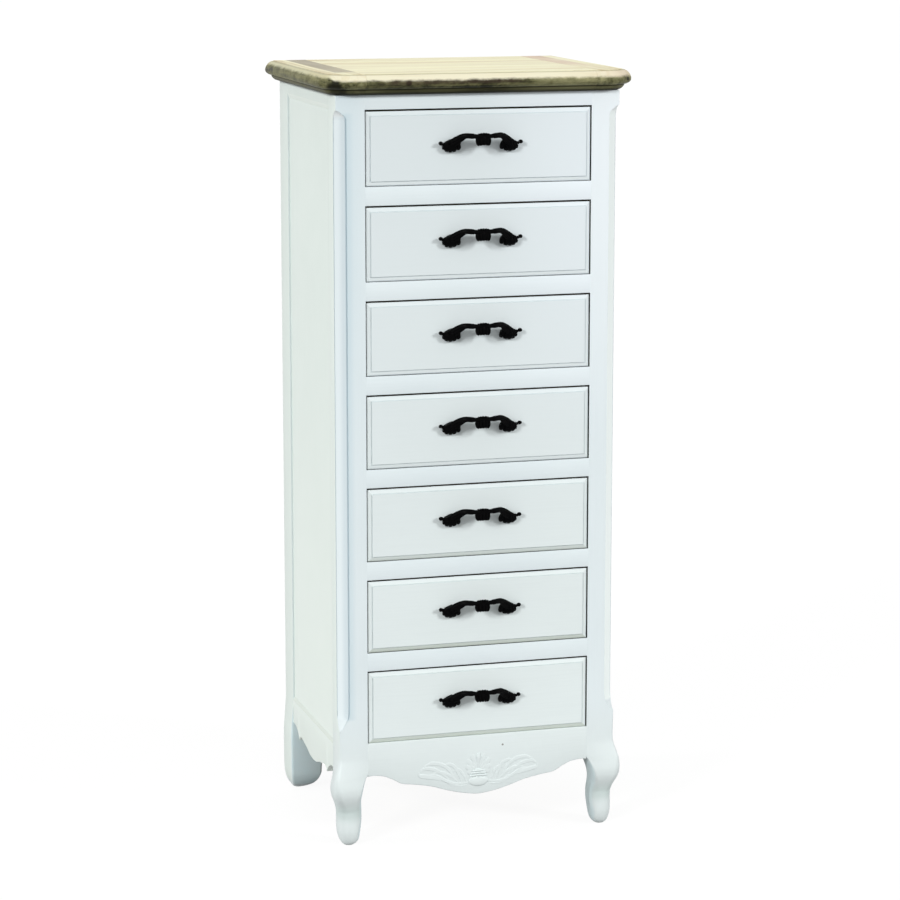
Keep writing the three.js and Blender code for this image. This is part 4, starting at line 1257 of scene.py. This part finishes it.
def planks(count, arris):
    stride = (PANEL_HIGH.y - PANEL_LOW.y) / count
    parts = []
    for number in range(count):
        front = PANEL_LOW.y + number * stride
        low = (PANEL_LOW.x + END_GAP, front + PLANK_GAP, PANEL_LOW.z)
        high = (PANEL_HIGH.x - END_GAP, front + stride - PLANK_GAP, SLAB_TOP)
        parts.append(block(low, high, arris))
    return gathered(*parts)


# Drawers


def drawer_front(number, border, step):
    """An inset front: sloping border, a fine groove, a small step, and a raised flat field."""
    low, high = reach_of(f"drawer_{number}_front")
    foot = low.y + step
    profile = (
        (0, high.y), (0, BORDER_SINK + 0.5), (0.12, BORDER_SINK + 0.2), (0.45, BORDER_SINK),
        (border * 0.5, (BORDER_SINK + foot) / 2 + 0.1), (border * 0.88, foot + 0.12),
        (border * 0.93, foot + 0.5), (border, foot + 0.45),
        (border + 0.12, low.y + 0.3), (border + 0.4, low.y),
    )
    rings = []
    for inset, y in profile:
        x0, x1, z0, z1 = low.x + inset, high.x - inset, low.z + inset, high.z - inset - TOP_REVEAL
        rings.append([(x0, y, z0), (x1, y, z0), (x1, y, z1), (x0, y, z1)])
    return lofted(rings)


def tube(path, radius, sides, flutes=0, depth=0.0, twist=0.0):
    """A round bar along a path; radius is one number per point, and flutes wind round it."""
    path = np.asarray(path, float)
    run = np.gradient(path, axis=0)
    run /= np.linalg.norm(run, axis=1, keepdims=True)
    normal = np.array([0.0, 0.0, 1.0])
    rings = []
    for place, (centre, along) in enumerate(zip(path, run)):
        normal = normal - along * normal.dot(along)
        normal /= np.linalg.norm(normal)
        other = np.cross(along, normal)
        ring = []
        for step in range(sides):
            angle = step / sides * math.tau
            swell = 1 + depth * math.cos(flutes * angle + twist * place)
            ring.append(centre + radius[place] * swell * (math.cos(angle) * normal + math.sin(angle) * other))
        rings.append(ring)
    return lofted(rings)


def ball(centre, size, lobes=0, depth=0.0):
    """A ball or, with lobes, a bead gathered like a shell."""
    x, y, z = centre
    wide, deep, tall = size
    around, rows = 20, 12
    rings = []
    for row in range(rows + 1):
        angle = math.pi * (0.02 + 0.96 * row / rows)
        ring = []
        for step in range(around):
            turn = step / around * math.tau
            out = math.sin(angle) * (1 + depth * math.cos(lobes * turn))
            across, back = wide * out * math.cos(turn), deep * out * math.sin(turn)
            ring.append((x + across, y + back, z + tall * math.cos(angle)))
        rings.append(ring)
    return lofted(rings)


# The pull's boss: its ribs' places across, and its beads' places across and levels
BOSS_RIBS = (-8.2, -4.2, 0, 4.2, 8.2)
BOSS_BEADS = ((-7.6, 13.4), (-3.9, 14.2), (0, 14.4), (3.9, 14.2), (7.6, 13.4))
BOSS_BEAD_SIZE = (2.3, 3.2, 2.3)
# How far behind the boss's front its beads lie and its ribs end, and how much the ribs bow back to the sides
BOSS_BEAD_DEPTH = 4.9
BOSS_DEPTH = 9.6
BOSS_BOW = 0.03
# A rib's spine: share of its place across, depth behind the boss's front, and level; then widths and heights
BOSS_RIB_SPINE = ((0.62, 4.6, 14.6), (0.98, 3.2, 10), (1.1, 2.7, 4.5), (0.98, 2.7, -0.2), (0.8, 3.6, -2.2))
BOSS_RIB = ((1.6, 2.5, 2.7, 2.4, 1.7), (1.6, 2.3, 2.6, 2.3, 1.5))

# The right half of the bar: points from the boss to the leaf, then shares of the way and of the bar's radius
BAR_PATH = (
    (0, PULL_LOW.y + 5.2, 10.9), (9, PULL_LOW.y + 5.2, 11.2), (17, PULL_LOW.y + 5.4, 11.8),
    (25, PULL_LOW.y + 6.8, 12.4), (31.5, -17.4, 11.6), (37, -13.2, 8.8), (42.5, -9.8, 4.8), (48, -7.4, 0.0),
)
BAR_RUNS = (0, 0.18, 0.26, 0.32, 0.40, 0.48, 0.60, 0.72, 0.84, 0.93, 1)
BAR_SHARES = (1.0, 1.03, 1.1, 1.26, 1.24, 1.32, 1.32, 1.38, 1.5, 1.5, 1.2)
BAR_STEPS = 72
COLLARS = ((0.28, 1.34), (0.32, 1.28))
COLLAR_SHARES = (0.8, 1, 1, 0.8)
# The sheath's strands: spine and widths
STRANDS = (
    (
        ((20, -22.6, 12.8), (28, -20.4, 13.2), (35, -16.2, 11.0), (43, -12.0, 6.6), (52, -9.2, 2.4)),
        (0.6, 2.0, 2.9, 3.0, 1.0),
    ),
    (
        ((21, -23.4, 10.8), (28, -21.0, 9.8), (34.5, -16.8, 5.6), (41, -12.8, 0.8), (47, -10.0, -4.0)),
        (0.6, 1.7, 2.8, 3.2, 1.3),
    ),
    (
        ((29, -18.2, 9.8), (33.4, -15.2, 7.6), (35.6, -12.2, 4.0), (36.0, -9.6, -0.4), (35.6, -7.4, -5.6)),
        (0.6, 1.8, 3.0, 3.2, 1.8),
    ),
)
STRAND_HEIGHTS = (0.6, 1.4, 2.0, 2.0, 1.0)
# The leaf's lobes, from the inner one round to the tip: spine, widths and heights
LOBES = (
    (
        ((43, -6, 3), (37.4, -6.8, -1.0), (34.9, -6.2, -6.0), (34.0, -3.2, -10.2)),
        (2.6, 3.9, 3.4, 1.7), (4.0, 3.4, 2.8, 1.2),
    ),
    (
        ((46, -6, 0), (43.0, -7.2, -5.0), (41.4, -6.2, -9.4), (40.6, -3.2, -12.8)),
        (2.6, 4.2, 3.6, 1.7), (4.0, 3.6, 3.0, 1.2),
    ),
    (
        ((48, -6, 0), (47.8, -7.4, -5.4), (47.3, -6.4, -9.8), (46.9, -3.4, -13.4)),
        (2.6, 4.4, 3.8, 1.8), (4.0, 3.8, 3.2, 1.3),
    ),
    (
        ((50, -6, 0), (52.0, -7.2, -4.8), (53.0, -6.4, -8.8), (53.5, -3.6, -12.4)),
        (2.6, 4.2, 3.5, 1.7), (4.0, 3.6, 3.0, 1.3),
    ),
    (
        ((51, -6, 0), (54.8, -7.2, -3.0), (57.0, -6.4, -5.8), (58.2, -4.2, -9.2)),
        (2.4, 3.2, 2.6, 1.2), (3.8, 3.2, 2.6, 1.3),
    ),
    (
        ((49, -6, 0), (53.8, -6.8, -0.6), (57.6, -6.4, -1.2), (61.0, -6.0, -1.2)),
        (2.4, 2.6, 2.0, 1.4), (3.6, 3.0, 2.4, 1.8),
    ),
    (
        ((43, -9, 5), (47.6, -8.4, 3.0), (52.4, -7.8, 1.4), (56.6, -7.4, 0.4)),
        (2.4, 2.8, 2.2, 1.0), (3.4, 3.0, 2.6, 1.4),
    ),
)
# The bead over the leaf and the ball at its tip, as centre and radii, and the stem between them
BEAD = ((47.0, -10.6, -0.8), (3.2, 2.4, 3.2))
STEM = ((56.0, -6.8, -0.6), (59.6, -6.4, -0.3), (62.2, -6.4, 0.6))
STEM_RADII = (2.4, 1.7, 2.0)
TIP = ((PULL_HIGH.x - 3.6, -6.4, 0.8), (3.55, 3.3, 3.05))


def shell_boss():
    """The ribbed knot in the middle of the pull, under a row of beads."""
    front = PULL_LOW.y + 1
    parts = []
    for x in BOSS_RIBS:
        back = BOSS_BOW * x * x
        spine = [(share * x, front + depth + back, level) for share, depth, level in BOSS_RIB_SPINE]
        parts.append(leaf(spine, *BOSS_RIB, vein=0.0, sink=front + BOSS_DEPTH, around=9))
    for x, level in BOSS_BEADS:
        parts.append(ball((x, front + BOSS_BEAD_DEPTH, level), BOSS_BEAD_SIZE))
    return gathered(*parts)


def pull_half(radius):
    """The right half of a pull: bar with its collars, sheath of strands, leaf foot and tip."""
    path = curve_through(BAR_PATH, BAR_STEPS)
    thick = smooth_through(BAR_RUNS, np.array(BAR_SHARES) * radius, np.linspace(0, 1, BAR_STEPS))
    parts = [tube(path, thick, sides=30, flutes=6, depth=0.07, twist=0.05)]
    for share, swell in COLLARS:
        place = int(share * (BAR_STEPS - 1))
        ring = path[place - 1:place + len(COLLAR_SHARES) - 1]
        parts.append(tube(ring, np.array(COLLAR_SHARES) * radius * swell, sides=24))
    for spine, widths in STRANDS:
        parts.append(leaf(spine, widths, STRAND_HEIGHTS, vein=0.3, steps=20, around=9, follow=2.0))
    for spine, widths, heights in LOBES:
        parts.append(leaf(spine, widths, heights, vein=0.28, sink=0.3, steps=14, around=11))
    parts.append(ball(*BEAD, lobes=5, depth=0.08))
    parts.append(ball(*TIP))
    parts.append(tube(STEM, STEM_RADII, sides=16))
    return gathered(*parts)


def screw(side):
    """The shank and the pan head inside the drawer, in pull millimetres."""
    inside = PULL_HIGH.y - SCREW_HEAD
    turns = [step / 20 * math.tau for step in range(20)]
    profile = [(0, SCREW_PROFILE[0][1])] + [(inside + along, radius) for along, radius in SCREW_PROFILE]
    middle = side * SCREW_HALF
    return lofted([[(middle + r * math.cos(a), y, r * math.sin(a)) for a in turns] for y, r in profile])


# Operators

SIDES = (("left", as_made), ("right", mirrored))


class CHEST_OT_posts(bpy.types.Operator):
    """Build the front posts with their legs and the rear posts with their feet"""

    bl_idname = "chest.posts"
    bl_label = "Posts and Legs"

    def execute(self, context):
        front_finish = kept("brushed white paint, posts", paint_post)
        rear_finish = kept("brushed white paint, rear feet", paint_foot)
        front, rear = front_post(), rear_post()
        for side, change in SIDES:
            name, node = f"{side}_front_leg", f"front_{side}_post"
            piece_of(name, change(front), front_finish, "case", node, crease=32)
            name, node = f"{side}_rear_leg", f"rear_{side}_post"
            piece_of(name, change(rear), rear_finish, "case", node, crease=40)
        return {"FINISHED"}


class CHEST_OT_front_frame(bpy.types.Operator):
    """Build the top rail, the dividers between the drawers and the waved apron"""

    bl_idname = "chest.front_frame"
    bl_label = "Front Frame"

    def execute(self, context):
        arris = context.scene.chest_sizes.arris / MM
        finish = kept("brushed white paint, rails", paint_rail)
        rail = front_rail(TOP_RAIL_LOW.z, SLAB_UNDER, TOP_RAIL_HIGH.y, arris, round_high=False)
        piece_of("top_rail", rail, finish, "case", "front_top_rail")
        for number in DIVIDERS:
            low, high = reach_of(f"divider_{number}")
            part = front_rail(low.z, high.z, high.y, arris)
            piece_of(f"rail_under_drawer_{number}", part, finish, "case", f"divider_{number}")
        finish = kept("brushed white paint, apron", paint_apron)
        piece_of("waved_apron", front_apron(arris), finish, "case", "front_apron")
        return {"FINISHED"}


class CHEST_OT_sides(bpy.types.Operator):
    """Build the side rails and aprons and paint the side panels"""

    bl_idname = "chest.sides"
    bl_label = "Sides"

    def execute(self, context):
        arris = context.scene.chest_sizes.arris / MM
        finish = kept("brushed white paint, side", paint_side)
        apron, rail = side_apron(arris), side_top_rail(arris)
        for side, change in SIDES:
            name, node = f"{side}_cusped_apron", f"{side}_side_apron"
            piece_of(name, change(apron), finish, "case", node)
            name, node = f"{side}_upper_rail", f"{side}_top_rail"
            piece_of(name, change(rail), finish, "case", node)
        refinish(("left_side_panel", "right_side_panel"), finish)
        return {"FINISHED"}


class CHEST_OT_carving(bpy.types.Operator):
    """Build the painted fan and leaves in low relief on the apron"""

    bl_idname = "chest.carving"
    bl_label = "Carving"

    def execute(self, context):
        finish = kept("brushed white paint, apron", paint_apron)
        part = carving(context.scene.chest_sizes.carving_relief / MM)
        piece_of("fan_and_leaf_carving", part, finish, "case", "apron_carving", crease=50)
        return {"FINISHED"}


class CHEST_OT_top(bpy.types.Operator):
    """Build the moulded border boards and the planks between them"""

    bl_idname = "chest.top"
    bl_label = "Boarded Top"

    def execute(self, context):
        sizes = context.scene.chest_sizes
        arris = sizes.plank_arris / MM
        board = end_board(arris)
        left = kept("weathered end board, left", edge_left)
        right = kept("weathered end board, right", edge_right)
        border = kept("weathered border board", edge_lengthwise)
        for name, part, finish, node in (
            ("left_end_board", board, left, "top_left_board"),
            ("right_end_board", mirrored(board), right, "top_right_board"),
            ("front_border_board", middle_board(True, arris), border, "top_front_board"),
            ("back_border_board", middle_board(False, arris), border, "top_back_board"),
        ):
            piece_of(name, part, finish, "case", node, crease=30)
        straw = kept("straw planks", planked)
        piece_of("straw_planks", planks(sizes.planks, arris), straw, "case", "top_plank_panel")
        return {"FINISHED"}


class CHEST_OT_drawer_fronts(bpy.types.Operator):
    """Build the seven inset drawer fronts with their raised fields"""

    bl_idname = "chest.drawer_fronts"
    bl_label = "Drawer Fronts"

    def execute(self, context):
        sizes = context.scene.chest_sizes
        finish = kept("brushed white paint, drawer fronts", paint_front)
        for number in DRAWERS:
            part = drawer_front(number, sizes.field_border / MM, sizes.field_step / MM)
            name, node = f"raised_field_front_{number}", f"drawer_{number}_front"
            piece_of(name, part, finish, f"drawer_{number}", node, crease=14)
        return {"FINISHED"}


class CHEST_OT_pulls(bpy.types.Operator):
    """Cast one leaf pull and hang it on all seven drawers"""

    bl_idname = "chest.pulls"
    bl_label = "Leaf Pulls"

    def execute(self, context):
        finish = kept("antique casting", cast_iron)
        half = pull_half(context.scene.chest_sizes.bar_radius / MM)
        part = gathered(half, mirrored(half), shell_boss(), screw(-1), screw(1))
        mesh = mesh_of("leaf_pull", part, finish, crease=50, front=0)
        for number in DRAWERS:
            low, high = reach_of(f"drawer_{number}_front")
            level = (low.z + high.z) / 2 + PULL_LIFT
            place = (0, low.y * MM + FRONT, level * MM)
            body, node = f"drawer_{number}", f"drawer_{number}_pull"
            settle(f"leaf_pull_{number}", mesh, body, node, place)
        return {"FINISHED"}


class CHEST_OT_inside(bpy.types.Operator):
    """Give the drawer boxes, runners and back their plain wood"""

    bl_idname = "chest.inside"
    bl_label = "Inside Wood"

    def execute(self, context):
        box = kept("drawer box wood", box_wood)
        refinish([f"drawer_{number}_box" for number in DRAWERS], box)
        refinish([f"drawer_{number}_bottom" for number in DRAWERS], kept("drawer bottom wood", bottom_wood))
        refinish([f"runner_{number}" for number in DRAWERS], box)
        refinish(["back_panel"], kept("back panel wood", back_wood))
        return {"FINISHED"}


# Lamps: height and turn to the right of the front in degrees, and how broad the light is
LAMPS = (("key", 24, -50, 11), ("fill", 24, 48, 12), ("side", 26, -96, 14))
SENSOR_WIDTH = 36
FAR_END = 400
FLOOR_HALF = 120
FLOOR_DROP = 0.0002
FLOOR_GREY = 0.36
FLOOR_GLOW = 1.28
FLOOR_GLOW_SHARE = 0.72


class CHEST_OT_stage(bpy.types.Operator):
    """Set up the pale floor, the soft lamps and the camera"""

    bl_idname = "chest.stage"
    bl_label = "Stage"

    def execute(self, context):
        settings = context.scene.chest_stage
        self.make_floor(context.scene)
        self.make_room(context.scene, settings.room)
        for name, height, turn, width in LAMPS:
            self.make_lamp(context.scene, f"{name}_lamp", getattr(settings, name), height, turn, width)
        camera = bpy.data.objects.new("camera", bpy.data.cameras.new("camera"))
        context.scene.collection.objects.link(camera)
        camera.location = settings.eye
        camera.rotation_euler = (math.pi / 2 - settings.tilt, 0, -settings.turn)
        camera.data.sensor_width = SENSOR_WIDTH
        camera.data.lens = settings.lens
        camera.data.clip_end = FAR_END
        context.scene.camera = camera
        context.scene.view_settings.view_transform = "Standard"
        return {"FINISHED"}

    def make_floor(self, scene):
        mesh = bpy.data.meshes.new("floor")
        corners = ((-1, -1), (1, -1), (1, 1), (-1, 1))
        mesh.from_pydata([(x * FLOOR_HALF, y * FLOOR_HALF, 0) for x, y in corners], [], [(0, 1, 2, 3)])
        floor = bpy.data.objects.new("floor", mesh)
        scene.collection.objects.link(floor)
        floor.location.z = -FLOOR_DROP
        material = bpy.data.materials.new("pale floor")
        material.use_nodes = True
        tree = material.node_tree
        tree.nodes.clear()
        new, link = tree.nodes.new, tree.links.new
        matte, glow = new("ShaderNodeBsdfDiffuse"), new("ShaderNodeEmission")
        mixed = new("ShaderNodeMixShader")
        matte.inputs["Color"].default_value = (FLOOR_GREY, FLOOR_GREY, FLOOR_GREY, 1)
        glow.inputs["Color"].default_value = (1, 1, 1, 1)
        glow.inputs["Strength"].default_value = FLOOR_GLOW
        link(self.seen_share(tree, FLOOR_GLOW_SHARE), mixed.inputs[0])
        link(matte.outputs[0], mixed.inputs[1])
        link(glow.outputs[0], mixed.inputs[2])
        link(mixed.outputs[0], new("ShaderNodeOutputMaterial").inputs["Surface"])
        mesh.materials.append(material)

    def maths(self, tree, operation, first, second):
        node = tree.nodes.new("ShaderNodeMath")
        node.operation = operation
        for socket, value in zip(node.inputs, (first, second)):
            if isinstance(value, bpy.types.NodeSocket):
                tree.links.new(value, socket)
            else:
                socket.default_value = value
        return node.outputs[0]

    def seen_share(self, tree, share):
        """The share for rays from the camera, from gloss and through glass, and nought for the rest."""
        path = tree.nodes.new("ShaderNodeLightPath").outputs
        seen = self.maths(tree, "MAXIMUM", path["Is Camera Ray"], path["Is Glossy Ray"])
        seen = self.maths(tree, "MAXIMUM", seen, path["Is Transmission Ray"])
        return self.maths(tree, "MULTIPLY", seen, share)

    def make_room(self, scene, strength):
        """Even light all round, which is plain white where it is seen."""
        world = bpy.data.worlds.new("studio")
        scene.world = world
        world.use_nodes = True
        tree = world.node_tree
        tree.nodes.clear()
        background = tree.nodes.new("ShaderNodeBackground")
        background.inputs["Color"].default_value = (1, 1, 1, 1)
        level = self.maths(tree, "ADD", self.seen_share(tree, 1 - strength), strength)
        tree.links.new(level, background.inputs["Strength"])
        output = tree.nodes.new("ShaderNodeOutputWorld")
        tree.links.new(background.outputs[0], output.inputs["Surface"])

    def make_lamp(self, scene, name, strength, height, turn, width):
        """A broad lamp at so many degrees of height, turned so many degrees to the right of the front."""
        lamp = bpy.data.lights.new(name, "SUN")
        lamp.energy = strength
        lamp.angle = math.radians(width)
        holder = bpy.data.objects.new(name, lamp)
        scene.collection.objects.link(holder)
        holder.rotation_euler = (math.radians(90 - height), 0, math.radians(turn))


class CHEST_PT_panel(bpy.types.Panel):
    """Lists the chest's pieces and their sizes and colours"""

    bl_idname = "CHEST_PT_panel"
    bl_label = "Tall Chest"
    bl_space_type = "VIEW_3D"
    bl_region_type = "UI"
    bl_category = "Chest"

    def draw(self, context):
        column = self.layout.column(align=True)
        for operator in OPERATORS:
            column.operator(operator.bl_idname)
        for group in (context.scene.chest_sizes, context.scene.chest_colours, context.scene.chest_stage):
            box = self.layout.box()
            for name in group.bl_rna.properties.keys():
                if name not in ("rna_type", "name"):
                    box.prop(group, name)


OPERATORS = (
    CHEST_OT_stage, CHEST_OT_posts, CHEST_OT_front_frame, CHEST_OT_sides, CHEST_OT_carving,
    CHEST_OT_top, CHEST_OT_drawer_fronts, CHEST_OT_pulls, CHEST_OT_inside,
)
GROUPS = (("chest_sizes", ChestSizes), ("chest_colours", ChestColours), ("chest_stage", ChestStage))


def register():
    for name, group in GROUPS:
        bpy.utils.register_class(group)
        setattr(bpy.types.Scene, name, PointerProperty(type=group))
    for cls in (*OPERATORS, CHEST_PT_panel):
        bpy.utils.register_class(cls)


def unregister():
    for cls in (CHEST_PT_panel, *reversed(OPERATORS)):
        bpy.utils.unregister_class(cls)
    for name, group in reversed(GROUPS):
        delattr(bpy.types.Scene, name)
        bpy.utils.unregister_class(group)


def main():
    register()
    bpy.ops.chest.stage()
    bpy.ops.chest.posts()
    bpy.ops.chest.front_frame()
    bpy.ops.chest.sides()
    bpy.ops.chest.carving()
    bpy.ops.chest.top()
    bpy.ops.chest.drawer_fronts()
    bpy.ops.chest.pulls()
    bpy.ops.chest.inside()


if __name__ == "__main__":
    main()
